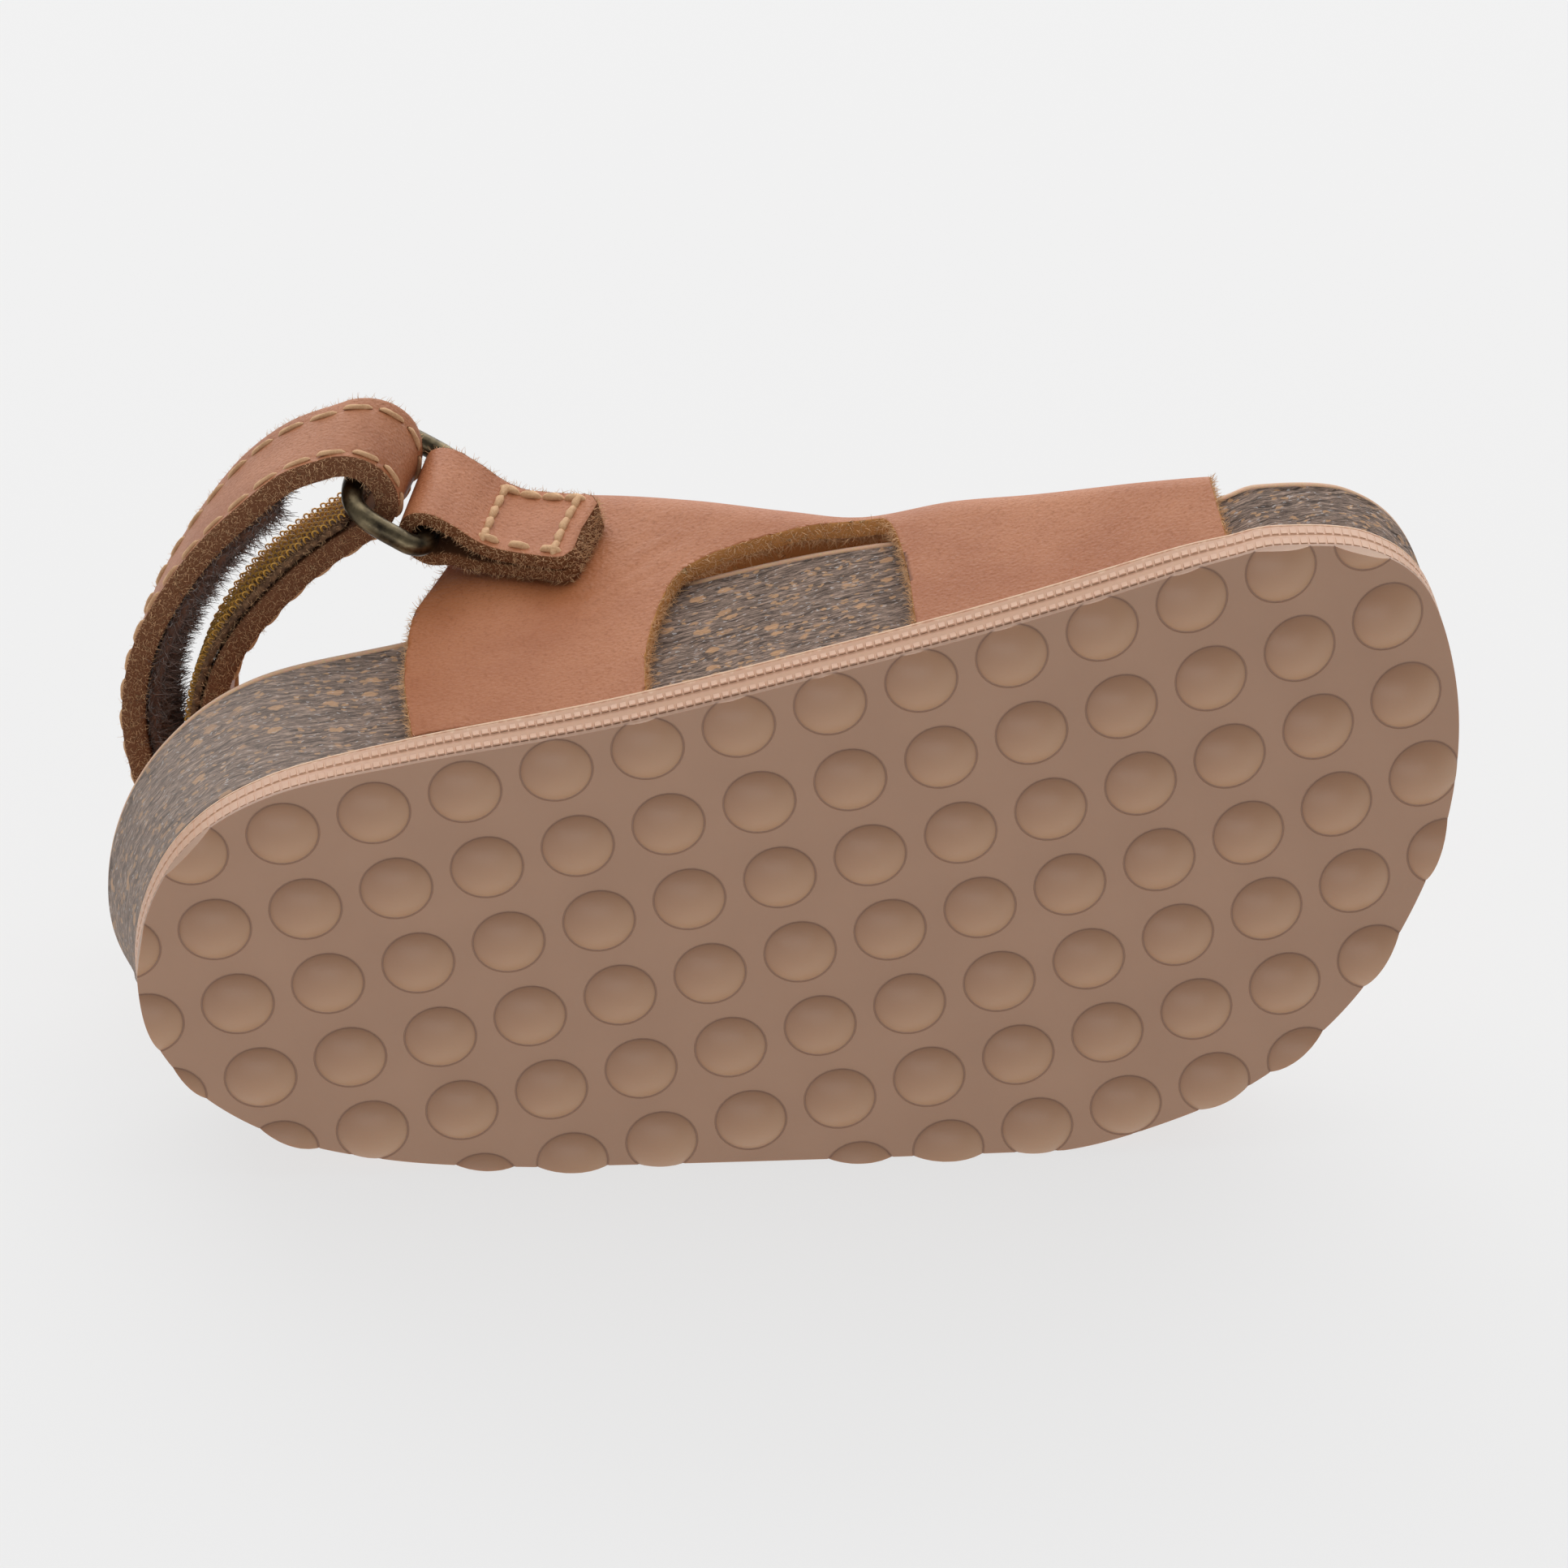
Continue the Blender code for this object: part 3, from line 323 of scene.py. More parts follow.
# A sheet of studs: one square cell, repeated on a grid.
tread_tree, given, result = node_tree("tread_of_studs", (
    ("Cell", "Object"), ("Pitch", "Float"), ("Columns", "Int"), ("Rows", "Int"), ("Rubber", "Material")))
columns_wide = add_node(tread_tree, "ShaderNodeMath", {"operation": "SUBTRACT"}, {
    0: given["Columns"], 1: 1.0})
rows_wide = add_node(tread_tree, "ShaderNodeMath", {"operation": "SUBTRACT"}, {0: given["Rows"], 1: 1.0})
grid = add_node(tread_tree, "GeometryNodeMeshGrid", {}, {
    "Vertices X": given["Columns"], "Vertices Y": given["Rows"],
    "Size X": add_node(tread_tree, "ShaderNodeMath", {"operation": "MULTIPLY"},
                       {0: columns_wide.outputs[0], 1: given["Pitch"]}).outputs[0],
    "Size Y": add_node(tread_tree, "ShaderNodeMath", {"operation": "MULTIPLY"},
                       {0: rows_wide.outputs[0], 1: given["Pitch"]}).outputs[0]})
cell = add_node(tread_tree, "GeometryNodeObjectInfo", {}, {"Object": given["Cell"]})
cells = add_node(tread_tree, "GeometryNodeInstanceOnPoints", {}, {
    "Points": grid.outputs["Mesh"], "Instance": cell.outputs["Geometry"]})
real = add_node(tread_tree, "GeometryNodeRealizeInstances", {}, {"Geometry": cells.outputs[0]})
joined = add_node(tread_tree, "GeometryNodeMergeByDistance", {}, {
    "Geometry": real.outputs[0], "Distance": 0.01})
coated = add_node(tread_tree, "GeometryNodeSetMaterial", {}, {
    "Geometry": joined.outputs[0], "Material": given["Rubber"]})
tread_tree.links.new(coated.outputs[0], result["Geometry"])

# Small shapes along a line, each turned to the line and to the side that the line's "up" attribute names.
row_tree, given, result = node_tree("row_along_a_line", (
    ("Shape", "Object"), ("Pitch", "Float"), ("Finish", "Material")))
line = add_node(row_tree, "GeometryNodeMeshToCurve", {}, {"Mesh": given["Geometry"]})
spaced = add_node(row_tree, "GeometryNodeResampleCurve", {"mode": "LENGTH"}, {
    "Curve": line.outputs[0], "Length": given["Pitch"]})
facing = add_node(row_tree, "GeometryNodeInputNamedAttribute", {"data_type": "FLOAT_VECTOR"}, {"Name": "up"})
heading = add_node(row_tree, "GeometryNodeInputTangent", {}, {})
turned = add_node(row_tree, "FunctionNodeAlignRotationToVector", {"axis": "X"}, {
    "Vector": heading.outputs[0]})
stood = add_node(row_tree, "FunctionNodeAlignRotationToVector", {"axis": "Z", "pivot_axis": "X"}, {
    "Rotation": turned.outputs[0], "Vector": facing.outputs["Attribute"]})
shape_in = add_node(row_tree, "GeometryNodeObjectInfo", {}, {"Object": given["Shape"]})
row = add_node(row_tree, "GeometryNodeInstanceOnPoints", {}, {
    "Points": spaced.outputs[0], "Instance": shape_in.outputs["Geometry"], "Rotation": stood.outputs[0]})
row_real = add_node(row_tree, "GeometryNodeRealizeInstances", {}, {"Geometry": row.outputs[0]})
row_coated = add_node(row_tree, "GeometryNodeSetMaterial", {}, {
    "Geometry": row_real.outputs[0], "Material": given["Finish"]})
row_tree.links.new(row_coated.outputs[0], result["Geometry"])


def row_of(shape, points, ups, pitch, finish, closed):
    """A row of small shapes along points, as a bmesh. A closed line comes back to its start."""
    guide = bpy.data.meshes.new("guide")
    count = len(points)
    edges = [(index, (index + 1) % count) for index in range(count if closed else count - 1)]
    guide.from_pydata([tuple(map(float, point)) for point in points], edges, [])
    guide.attributes.new("up", "FLOAT_VECTOR", "POINT").data.foreach_set(
        "vector", np.array(ups, np.float32).ravel())
    path = bpy.data.objects.new("guide", guide)
    bpy.context.scene.collection.objects.link(path)
    run_tree(row_tree, path, {"Shape": shape, "Pitch": pitch, "Finish": finish})
    return taken_from(path)


# Moulded natural rubber: a dull gloss, and light that sinks in and leaves its thin edges warm.
rubber, tree, shader = new_material("moulded_natural_rubber", "#A8836C", 0.42)
shader.inputs["IOR"].default_value = 1.52
shader.inputs["Subsurface Weight"].default_value = 0.12
shader.inputs["Subsurface Radius"].default_value = (1.0, 0.45, 0.25)
shader.inputs["Subsurface Scale"].default_value = 0.0012
flat_place = add_node(tree, "ShaderNodeAttribute", {"attribute_name": "shoe_mm"}, {}).outputs["Vector"]
wrapped = add_node(tree, "ShaderNodeVectorMath", {"operation": "ADD"}, {
    0: flat_place, 1: (2.5 * STUD_PITCH - STUD_START[0], 5.5 * STUD_PITCH - STUD_START[1], 0.0)}).outputs[0]
wrapped = add_node(tree, "ShaderNodeVectorMath", {"operation": "MODULO"}, {
    0: wrapped, 1: (STUD_PITCH, STUD_PITCH, 1000.0)}).outputs[0]
wrapped = add_node(tree, "ShaderNodeVectorMath", {"operation": "SUBTRACT"}, {
    0: wrapped, 1: (STUD_PITCH / 2.0, STUD_PITCH / 2.0, 0.0)}).outputs[0]
wrapped = add_node(tree, "ShaderNodeVectorMath", {"operation": "MULTIPLY"}, {
    0: wrapped, 1: (1.0, 1.0, 0.0)}).outputs[0]
from_stud = add_node(tree, "ShaderNodeVectorMath", {"operation": "LENGTH"}, {0: wrapped}).outputs["Value"]
level = add_node(tree, "ShaderNodeSeparateXYZ", {}, {0: flat_place}).outputs["Z"]
# A thin line of painted shade darkens the fine groove round each stud, on the tread only.
off_rim = add_node(tree, "ShaderNodeMath", {"operation": "SUBTRACT"}, {
    0: from_stud, 1: STUD_RADIUS + 0.06}).outputs[0]
off_rim = add_node(tree, "ShaderNodeMath", {"operation": "ABSOLUTE"}, {0: off_rim}).outputs[0]
groove_shade_line = add_node(tree, "ShaderNodeMapRange", {"interpolation_type": "SMOOTHSTEP"}, {
    "Value": off_rim, "From Min": 0.02, "From Max": 0.16, "To Min": 0.4, "To Max": 0.0}).outputs[0]
low = add_node(tree, "ShaderNodeMapRange", {}, {
    "Value": level, "From Min": 0.2, "From Max": 0.25, "To Min": 1.0, "To Max": 0.0}).outputs[0]
groove_shade_line = add_node(tree, "ShaderNodeMath", {"operation": "MULTIPLY"}, {0: groove_shade_line, 1: low}).outputs[0]
on_stud = add_node(tree, "ShaderNodeMapRange", {}, {
    "Value": from_stud, "From Min": STUD_RADIUS - 0.2, "From Max": STUD_RADIUS, "To Min": 1.0,
    "To Max": 0.0}).outputs[0]
on_stud = add_node(tree, "ShaderNodeMath", {"operation": "MULTIPLY"}, {0: on_stud, 1: low}).outputs[0]
on_side = add_node(tree, "ShaderNodeMapRange", {"interpolation_type": "SMOOTHSTEP"}, {
    "Value": level, "From Min": 0.15, "From Max": 0.8, "To Min": 0.0, "To Max": 1.0}).outputs[0]
cloud = add_node(tree, "ShaderNodeTexNoise", {}, {
    "Vector": flat_place, "Scale": 0.09, "Detail": 4.0}).outputs[0]
tone = add_node(tree, "ShaderNodeMix", {"data_type": "RGBA"}, {
    0: cloud, 6: linear_colour("#9C7860"), 7: linear_colour("#A8836A")}).outputs[2]
# Painted shade darkens the side of each stud towards the sole's inner edge, and painted light makes its other
# side paler and more yellow.
toward_shaded_side = add_node(tree, "ShaderNodeVectorMath", {"operation": "DOT_PRODUCT"}, {
    0: wrapped, 1: (-0.45, -0.89, 0.0)}).outputs["Value"]
crown = add_node(tree, "ShaderNodeMapRange", {"interpolation_type": "SMOOTHSTEP"}, {
    "Value": toward_shaded_side, "From Min": -STUD_RADIUS, "From Max": STUD_RADIUS, "To Min": 0.0,
    "To Max": 1.0}).outputs[0]
stud_lit_and_shaded_tone = add_node(tree, "ShaderNodeMix", {"data_type": "RGBA"}, {
    0: crown, 6: linear_colour("#B08A6C"), 7: linear_colour("#A0795E")}).outputs[2]
tone = add_node(tree, "ShaderNodeMix", {"data_type": "RGBA"}, {0: on_stud, 6: tone, 7: stud_lit_and_shaded_tone}).outputs[2]
tone = add_node(tree, "ShaderNodeMix", {"data_type": "RGBA"}, {
    0: on_side, 6: tone, 7: linear_colour("#CB9C7E")}).outputs[2]
# The painted shade in each stud's groove.
tone = add_node(tree, "ShaderNodeMix", {"data_type": "RGBA"}, {
    0: groove_shade_line, 6: tone, 7: linear_colour("#5E4238")}).outputs[2]
# The upper edge of the side is scuffed pale by the grinding of the cork.
scuffed = add_node(tree, "ShaderNodeTexNoise", {}, {
    "Vector": flat_place, "Scale": 1.4, "Detail": 5.0}).outputs[0]
lip = add_node(tree, "ShaderNodeMath", {"operation": "MULTIPLY_ADD"}, {
    0: scuffed, 1: 1.2, 2: level}).outputs[0]
lip = add_node(tree, "ShaderNodeMapRange", {"interpolation_type": "SMOOTHSTEP"}, {
    "Value": lip, "From Min": 4.15, "From Max": 4.45, "To Min": 0.0, "To Max": 0.6}).outputs[0]
tone = add_node(tree, "ShaderNodeMix", {"data_type": "RGBA"}, {
    0: lip, 6: tone, 7: linear_colour("#E6C6A8")}).outputs[2]
tree.links.new(tone, shader.inputs["Base Color"])
mould = add_node(tree, "ShaderNodeTexNoise", {}, {
    "Vector": flat_place, "Scale": 2.2, "Detail": 5.0}).outputs[0]
bump = add_node(tree, "ShaderNodeBump", {}, {"Strength": 0.25, "Distance": 0.00005, "Height": mould})
tree.links.new(bump.outputs[0], shader.inputs["Normal"])

# One cell of the tread: the cap of a ball in a fine groove, in a square of plate.
ball_radius = (STUD_RADIUS ** 2 + STUD_HEIGHT ** 2) / (2.0 * STUD_HEIGHT)
steepest = math.asin(STUD_RADIUS / ball_radius)
turns = [2.0 * math.pi * side / STUD_SIDES for side in range(STUD_SIDES)]
circles = []
for share in DOME_SHARES:
    angle = steepest * share
    circles.append((ball_radius * math.sin(angle), ball_radius - STUD_HEIGHT - ball_radius * math.cos(angle)))
circles = list(GROOVE) + circles
shape = bmesh.new()
rays = [(math.cos(turn), math.sin(turn)) for turn in turns]
square = [(0.5 * STUD_PITCH * x / max(abs(x), abs(y)), 0.5 * STUD_PITCH * y / max(abs(x), abs(y)), 0.0)
          for x, y in rays]
loops = skin(shape, [square] + [[(radius * x, radius * y, z) for x, y in rays] for radius, z in circles])
crown = shape.verts.new((0.0, 0.0, -STUD_HEIGHT))
for side in range(STUD_SIDES):
    shape.faces.new((loops[-1][side], loops[-1][(side + 1) % STUD_SIDES], crown)).smooth = True
cell_drawing = drawing("stud_cell", shape)
sheet_drawing = drawing("stud_sheet", bmesh.new())
run_tree(tread_tree, sheet_drawing, {"Cell": cell_drawing, "Pitch": STUD_PITCH, "Columns": CELL_COLUMNS,
                                     "Rows": CELL_ROWS, "Rubber": rubber})
tread = taken_from(sheet_drawing, cell_drawing)
middle = (STUD_START[0] + STUD_PITCH * ((CELL_COLUMNS - 1) / 2.0 - 1.0),
          STUD_START[1] + STUD_PITCH * ((CELL_ROWS - 1) / 2.0 - 1.0))
bmesh.ops.translate(tread, verts=tread.verts, vec=(*middle, 0.0))
border = [edge for edge in tread.edges if edge.is_boundary]
raised = bmesh.ops.extrude_edge_only(tread, edges=border)["geom"]
top = [item for item in raised if isinstance(item, bmesh.types.BMVert)]
for vertex in top:
    vertex.co.z = PLATE_THICKNESS + 2.0
bmesh.ops.contextual_create(tread, geom=[edge for edge in tread.edges if edge.is_boundary])
bmesh.ops.recalc_face_normals(tread, faces=tread.faces)

rings = []
for height, depth in SIDE_PROFILE:
    share = min(max(height / PLATE_THICKNESS, 0.0), 1.0)
    rings.append(edge_ring(depth - EDGE[:, 6] - (EDGE[:, 5] - EDGE[:, 6]) * share, height))
block = bmesh.new()
loops = skin(block, rings)
block.faces.new(loops[0])
spine = [block.verts.new((x, 0.5 * (side_y(x, True) + side_y(x, False)), PLATE_THICKNESS))
         for x in np.arange(SPINE_START, SPINE_END + 1.0, SPINE_STEP)]
nearest = [min(spine, key=lambda vertex: abs(vertex.co.x - row[0])) for row in EDGE]
for index, vertex in enumerate(loops[-1]):
    after = (index + 1) % len(EDGE)
    corners = [vertex, loops[-1][after], nearest[after]]
    if nearest[after] is not nearest[index]:
        corners.append(nearest[index])
    block.faces.new(corners)
bmesh.ops.recalc_face_normals(block, faces=block.faces)
tread_drawing, block_drawing = drawing("tread", tread), drawing("block", block)
cut = tread_drawing.modifiers.new("cut_to_outline", "BOOLEAN")
cut.operation, cut.solver, cut.object = "INTERSECT", "EXACT", block_drawing
shape = taken_from(tread_drawing, block_drawing)

# A rib is a small block with sloped sides.
for height, tall in RIB_ROWS:
    rib = bmesh.new()
    foot = [(x * RIB_HALF_LENGTH, 0.5 * y * tall, RIB_ROOT) for x, y in ((-1, -1), (1, -1), (1, 1), (-1, 1))]
    skin(rib, [foot, [(RIB_TOP[0] * x, RIB_TOP[1] * y, RIB_RISE) for x, y, _ in foot]])
    rib.faces.ensure_lookup_table()
    rib.faces.new([vertex for vertex in rib.verts if vertex.co.z > 0.0])
    bmesh.ops.recalc_face_normals(rib, faces=rib.faces)
    rib_drawing = drawing("rib", rib)
    share = height / PLATE_THICKNESS
    line = edge_ring(SIDE_GROOVE - EDGE[:, 6] - (EDGE[:, 5] - EDGE[:, 6]) * share, height)
    ups = np.column_stack([-INWARD, np.zeros(len(EDGE))])
    ribs = row_of(rib_drawing, line, ups, RIB_PITCH, rubber, True)
    mesh = bpy.data.meshes.new("ribs")
    ribs.to_mesh(mesh)
    ribs.free()
    shape.from_mesh(mesh)
    bpy.data.objects.remove(rib_drawing, do_unlink=True)
for face in shape.faces:
    face.material_index = 0
outsole = lay("outsole_rubber", shape, rubber)
outsole.data.shade_smooth()
outsole.data.set_sharp_from_angle(angle=math.radians(28.0))
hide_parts("outsole")
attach(outsole, "root")

# Footbed. A block of pressed cork, ground to the sole's outline and hollowed for the foot. Dark granules
# and lighter flecks of bark lie in flat layers, and the ground side shows them as streaks.
CORK_FOOT = PLATE_THICKNESS + 0.3
# Height of the hollow along the middle. Columns: x, height.
BED = np.array(((0.0, 13.0), (30.0, 13.0), (55.0, 14.5), (75.0, 13.0), (97.0, 10.2), (125.0, 8.8),
                (146.0, 8.8)))
# Columns: distance in from the rim, share of the climb from bed to rim.
BED_RINGS = ((0.5, 1.0), (1.6, 0.97), (4.5, 0.55), (9.0, 0.16), (14.0, 0.03))
WALL_SHARES = (0.0, 0.08, 0.2, 0.32, 0.44, 0.56, 0.68, 0.8, 0.9, 0.97)


def bed_rings(raise_by, edge_inset):
    """Rings of the footbed's hollow from its rim inwards, ending on its middle line."""
    rim = edge_ring(EDGE[:, 3] + edge_inset, EDGE[:, 4] + raise_by)
    stations = SPINE_START + SPINE_STEP * np.round((EDGE[:, 0] - SPINE_START) / SPINE_STEP)
    stations = np.clip(stations, SPINE_START, SPINE_END)
    middle = np.array([(x, 0.5 * (side_y(x, True) + side_y(x, False))) for x in stations])
    reach = np.linalg.norm(rim[:, :2] - middle, axis=1)
    climb = EDGE[:, 4] - np.interp(EDGE[:, 0], BED[:, 0], BED[:, 1])
    rings = [rim]
    for distance, share in BED_RINGS:
        part = np.minimum((distance - min(edge_inset, distance)) / reach, 0.95)[:, None]
        place = rim[:, :2] + (middle - rim[:, :2]) * part
        height = np.interp(place[:, 0], BED[:, 0], BED[:, 1]) + climb * share + raise_by
        rings.append(np.column_stack([place, height]))
    rings.append(np.column_stack([middle, np.interp(middle[:, 0], BED[:, 0], BED[:, 1]) + raise_by]))
    return rings


# Pressed and ground cork: matt, in streaks about 0.4 mm thick and 3 mm long.
cork, tree, shader = new_material("pressed_cork", "#5F504A", 0.9)
flat_place = add_node(tree, "ShaderNodeAttribute", {"attribute_name": "shoe_mm"}, {}).outputs["Vector"]
layers = add_node(tree, "ShaderNodeVectorMath", {"operation": "MULTIPLY"}, {
    0: flat_place, 1: (0.3, 0.3, 2.6)})
streaks = add_node(tree, "ShaderNodeTexNoise", {}, {
    "Vector": layers.outputs[0], "Scale": 1.0, "Detail": 6.0, "Roughness": 0.72,
    "Distortion": 0.5}).outputs[0]
fine = add_node(tree, "ShaderNodeVectorMath", {"operation": "MULTIPLY"}, {0: flat_place, 1: (0.9, 0.9, 5.5)})
fine_streaks = add_node(tree, "ShaderNodeTexNoise", {}, {
    "Vector": fine.outputs[0], "Scale": 1.0, "Detail": 4.0, "Roughness": 0.7}).outputs[0]
streaks_sharp = add_node(tree, "ShaderNodeMapRange", {}, {
    "Value": streaks, "From Min": 0.36, "From Max": 0.66, "To Min": 0.0, "To Max": 1.0}).outputs[0]
fine_sharp = add_node(tree, "ShaderNodeMapRange", {}, {
    "Value": fine_streaks, "From Min": 0.35, "From Max": 0.68, "To Min": 0.0, "To Max": 1.0}).outputs[0]
tone = add_node(tree, "ShaderNodeMix", {"data_type": "RGBA"}, {
    0: streaks_sharp, 6: linear_colour("#43352E"), 7: linear_colour("#B5A092")}).outputs[2]
tone = add_node(tree, "ShaderNodeMix", {"data_type": "RGBA", "blend_type": "OVERLAY"}, {
    0: 0.75, 6: tone, 7: add_node(tree, "ShaderNodeMix", {"data_type": "RGBA"}, {
        0: fine_sharp, 6: linear_colour("#403732"), 7: linear_colour("#E6DED8")}).outputs[2]}).outputs[2]
# Flecks of bark, 1 to 2 mm long and flat.
warp = add_node(tree, "ShaderNodeTexNoise", {}, {
    "Vector": flat_place, "Scale": 1.3, "Detail": 3.0}).outputs[1]
warped = add_node(tree, "ShaderNodeVectorMath", {"operation": "SCALE"}, {0: warp, "Scale": 0.9}).outputs[0]
warped = add_node(tree, "ShaderNodeVectorMath", {"operation": "ADD"}, {0: flat_place, 1: warped}).outputs[0]
for scale, size, strength, colour in (((0.3, 0.3, 0.55), 0.28, 0.9, "#CDA078"),
                                      ((0.8, 0.8, 1.5), 0.33, 0.9, "#C69C74"),
                                      ((1.0, 1.0, 3.2), 0.24, 0.6, "#D5D2D2")):
    spread = add_node(tree, "ShaderNodeVectorMath", {"operation": "MULTIPLY"}, {
        0: warped, 1: scale}).outputs[0]
    grains = add_node(tree, "ShaderNodeTexVoronoi", {}, {"Vector": spread, "Scale": 1.0, "Randomness": 1.0})
    fleck = add_node(tree, "ShaderNodeMapRange", {"interpolation_type": "SMOOTHSTEP"}, {
        "Value": grains.outputs["Distance"], "From Min": size - 0.06, "From Max": size + 0.03,
        "To Min": strength, "To Max": 0.0}).outputs[0]
    chosen = add_node(tree, "ShaderNodeSeparateColor", {}, {0: grains.outputs["Color"]}).outputs[0]
    chosen = add_node(tree, "ShaderNodeMapRange", {}, {
        "Value": chosen, "From Min": 0.34, "From Max": 0.5, "To Min": 0.0, "To Max": 1.0}).outputs[0]
    fleck = add_node(tree, "ShaderNodeMath", {"operation": "MULTIPLY"}, {0: fleck, 1: chosen}).outputs[0]
    mottled = add_node(tree, "ShaderNodeMix", {"data_type": "RGBA", "blend_type": "MULTIPLY"}, {
        0: 0.35, 6: linear_colour(colour), 7: add_node(tree, "ShaderNodeMix", {"data_type": "RGBA"}, {
            0: fine_sharp, 6: linear_colour("#8A8A8A"), 7: linear_colour("#FFFFFF")}).outputs[2]}).outputs[2]
    tone = add_node(tree, "ShaderNodeMix", {"data_type": "RGBA"}, {0: fleck, 6: tone, 7: mottled}).outputs[2]
# The ground heel is dusty and paler, and glue darkens the foot of the cork.
lengthwise = add_node(tree, "ShaderNodeSeparateXYZ", {}, {0: flat_place})
dust = add_node(tree, "ShaderNodeMapRange", {"interpolation_type": "SMOOTHSTEP"}, {
    "Value": lengthwise.outputs["X"], "From Min": 8.0, "From Max": 46.0, "To Min": 0.2,
    "To Max": 0.0}).outputs[0]
tone = add_node(tree, "ShaderNodeMix", {"data_type": "RGBA"}, {
    0: dust, 6: tone, 7: linear_colour("#DCCFC6")}).outputs[2]
seep = add_node(tree, "ShaderNodeMath", {"operation": "MULTIPLY_ADD"}, {
    0: streaks, 1: -1.4, 2: lengthwise.outputs["Z"]}).outputs[0]
glue = add_node(tree, "ShaderNodeMapRange", {"interpolation_type": "SMOOTHSTEP"}, {
    "Value": seep, "From Min": 3.75, "From Max": 4.2, "To Min": 0.8, "To Max": 0.0}).outputs[0]
tone = add_node(tree, "ShaderNodeMix", {"data_type": "RGBA"}, {
    0: glue, 6: tone, 7: linear_colour("#3C2B22")}).outputs[2]
tree.links.new(tone, shader.inputs["Base Color"])
grain = add_node(tree, "ShaderNodeMath", {"operation": "ADD"}, {0: streaks, 1: fine_streaks}).outputs[0]
bump = add_node(tree, "ShaderNodeBump", {}, {"Strength": 0.8, "Distance": 0.00025, "Height": grain})
tree.links.new(bump.outputs[0], shader.inputs["Normal"])

rings = []
for share in WALL_SHARES:
    height = CORK_FOOT + (EDGE[:, 4] - CORK_FOOT) * share
    inset = EDGE[:, 2] + (EDGE[:, 3] - EDGE[:, 2]) * share
    ring = edge_ring(inset, height)
    chips = np.array([noise.fractal(Vector((x * 0.5, y * 0.5, z * 1.4)), 1.0, 2.0, 3) for x, y, z in ring])
    rings.append(edge_ring(inset + np.clip(0.14 + 0.3 * chips, 0.0, 0.5) * min(1.0, 4.0 * share), height))
bed = bed_rings(0.0, 0.0)
shape = bmesh.new()
middle = edge_ring(0.0, CORK_FOOT)
middle[:, :2] = bed[-1][:, :2]
skin(shape, [middle] + rings + bed)
bmesh.ops.remove_doubles(shape, verts=shape.verts, dist=0.01)
bmesh.ops.dissolve_degenerate(shape, edges=shape.edges, dist=0.005)
bmesh.ops.recalc_face_normals(shape, faces=shape.faces)
footbed = lay("footbed_cork", shape, cork)
footbed.data.set_sharp_from_angle(angle=math.radians(50.0))
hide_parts("cork_footbed")
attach(footbed, "root")

# Lining. A thin sheet of suede glued into the footbed's hollow and trimmed at its rim, where a pale line
# of it shows over the cork.
LINING_GAP = 0.12
LINING_THICKNESS = 1.25

# Buffed suede: no gloss, and a soft sheen where its nap turns from the eye.
suede, tree, shader = new_material("buffed_suede", "#C79B76", 0.95)
shader.inputs["Sheen Weight"].default_value = 0.4
shader.inputs["Sheen Roughness"].default_value = 0.6
flat_place = add_node(tree, "ShaderNodeAttribute", {"attribute_name": "shoe_mm"}, {}).outputs["Vector"]
nap = add_node(tree, "ShaderNodeTexNoise", {}, {
    "Vector": flat_place, "Scale": 3.0, "Detail": 6.0, "Roughness": 0.7})
patches = add_node(tree, "ShaderNodeTexNoise", {}, {"Vector": flat_place, "Scale": 0.12, "Detail": 4.0})
tone = add_node(tree, "ShaderNodeMix", {"data_type": "RGBA"}, {
    0: patches.outputs[0], 6: linear_colour("#B98C68"), 7: linear_colour("#D2A985")}).outputs[2]
tone = add_node(tree, "ShaderNodeMix", {"data_type": "RGBA", "blend_type": "OVERLAY"}, {
    0: 0.45, 6: tone, 7: nap.outputs[1]}).outputs[2]
tree.links.new(tone, shader.inputs["Base Color"])
bump = add_node(tree, "ShaderNodeBump", {}, {"Strength": 0.6, "Distance": 0.00015, "Height": nap.outputs[0]})
tree.links.new(bump.outputs[0], shader.inputs["Normal"])

under = bed_rings(LINING_GAP, 0.12)
over = bed_rings(LINING_GAP + LINING_THICKNESS, 0.3)
edge = bed_rings(LINING_GAP + 0.5 * LINING_THICKNESS, 0.05)[0]
shape = bmesh.new()
skin(shape, list(reversed(under)) + [edge] + over)
bmesh.ops.remove_doubles(shape, verts=shape.verts, dist=0.01)
bmesh.ops.dissolve_degenerate(shape, edges=shape.edges, dist=0.005)
bmesh.ops.recalc_face_normals(shape, faces=shape.faces)
lining = lay("footbed_lining", shape, suede)
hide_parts("insole")
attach(lining, "root")

# Upper. One piece of smooth tan cowhide, 1.8 mm thick, drawn over a last and glued between cork and sole.
# Its cut edges and its flesh side are raw and fibrous, and the band creases where the ankle moves.
LEATHER = 1.8
# The last's sections. Columns: x, inner shoulder, crest, y of the crest, outer shoulder.
LAST = (
    (32.0, 50.0, 68.0, 0.0, 31.0),
    (46.0, 48.0, 65.0, -2.0, 30.0),
    (60.0, 43.5, 57.9, -3.0, 28.0),
    (70.0, 37.5, 51.8, -4.0, 26.0),
    (80.0, 30.0, 44.8, -4.0, 22.0),
    (88.0, 25.0, 40.5, -3.0, 19.0),
    (98.0, 25.0, 39.0, -2.0, 17.0),
    (107.0, 23.0, 36.0, 0.0, 16.0),
    (116.0, 20.0, 32.5, 1.0, 14.0),
    (130.0, 14.0, 26.5, 2.0, 11.0),
)
INNER_WALL_INSET = 0.2
SHEET_STEP = 0.7
INNER_WALL_STEPS, OUTER_WALL_STEPS, CREST_STEPS = 44, 26, 34
SHEET_MERGE = 0.16
# The windows are cut only on their own side of the shoe, past these places across it.
INNER_CUT_Y, OUTER_CUT_Y, UNCUT = -6.0, 12.0, 9.0
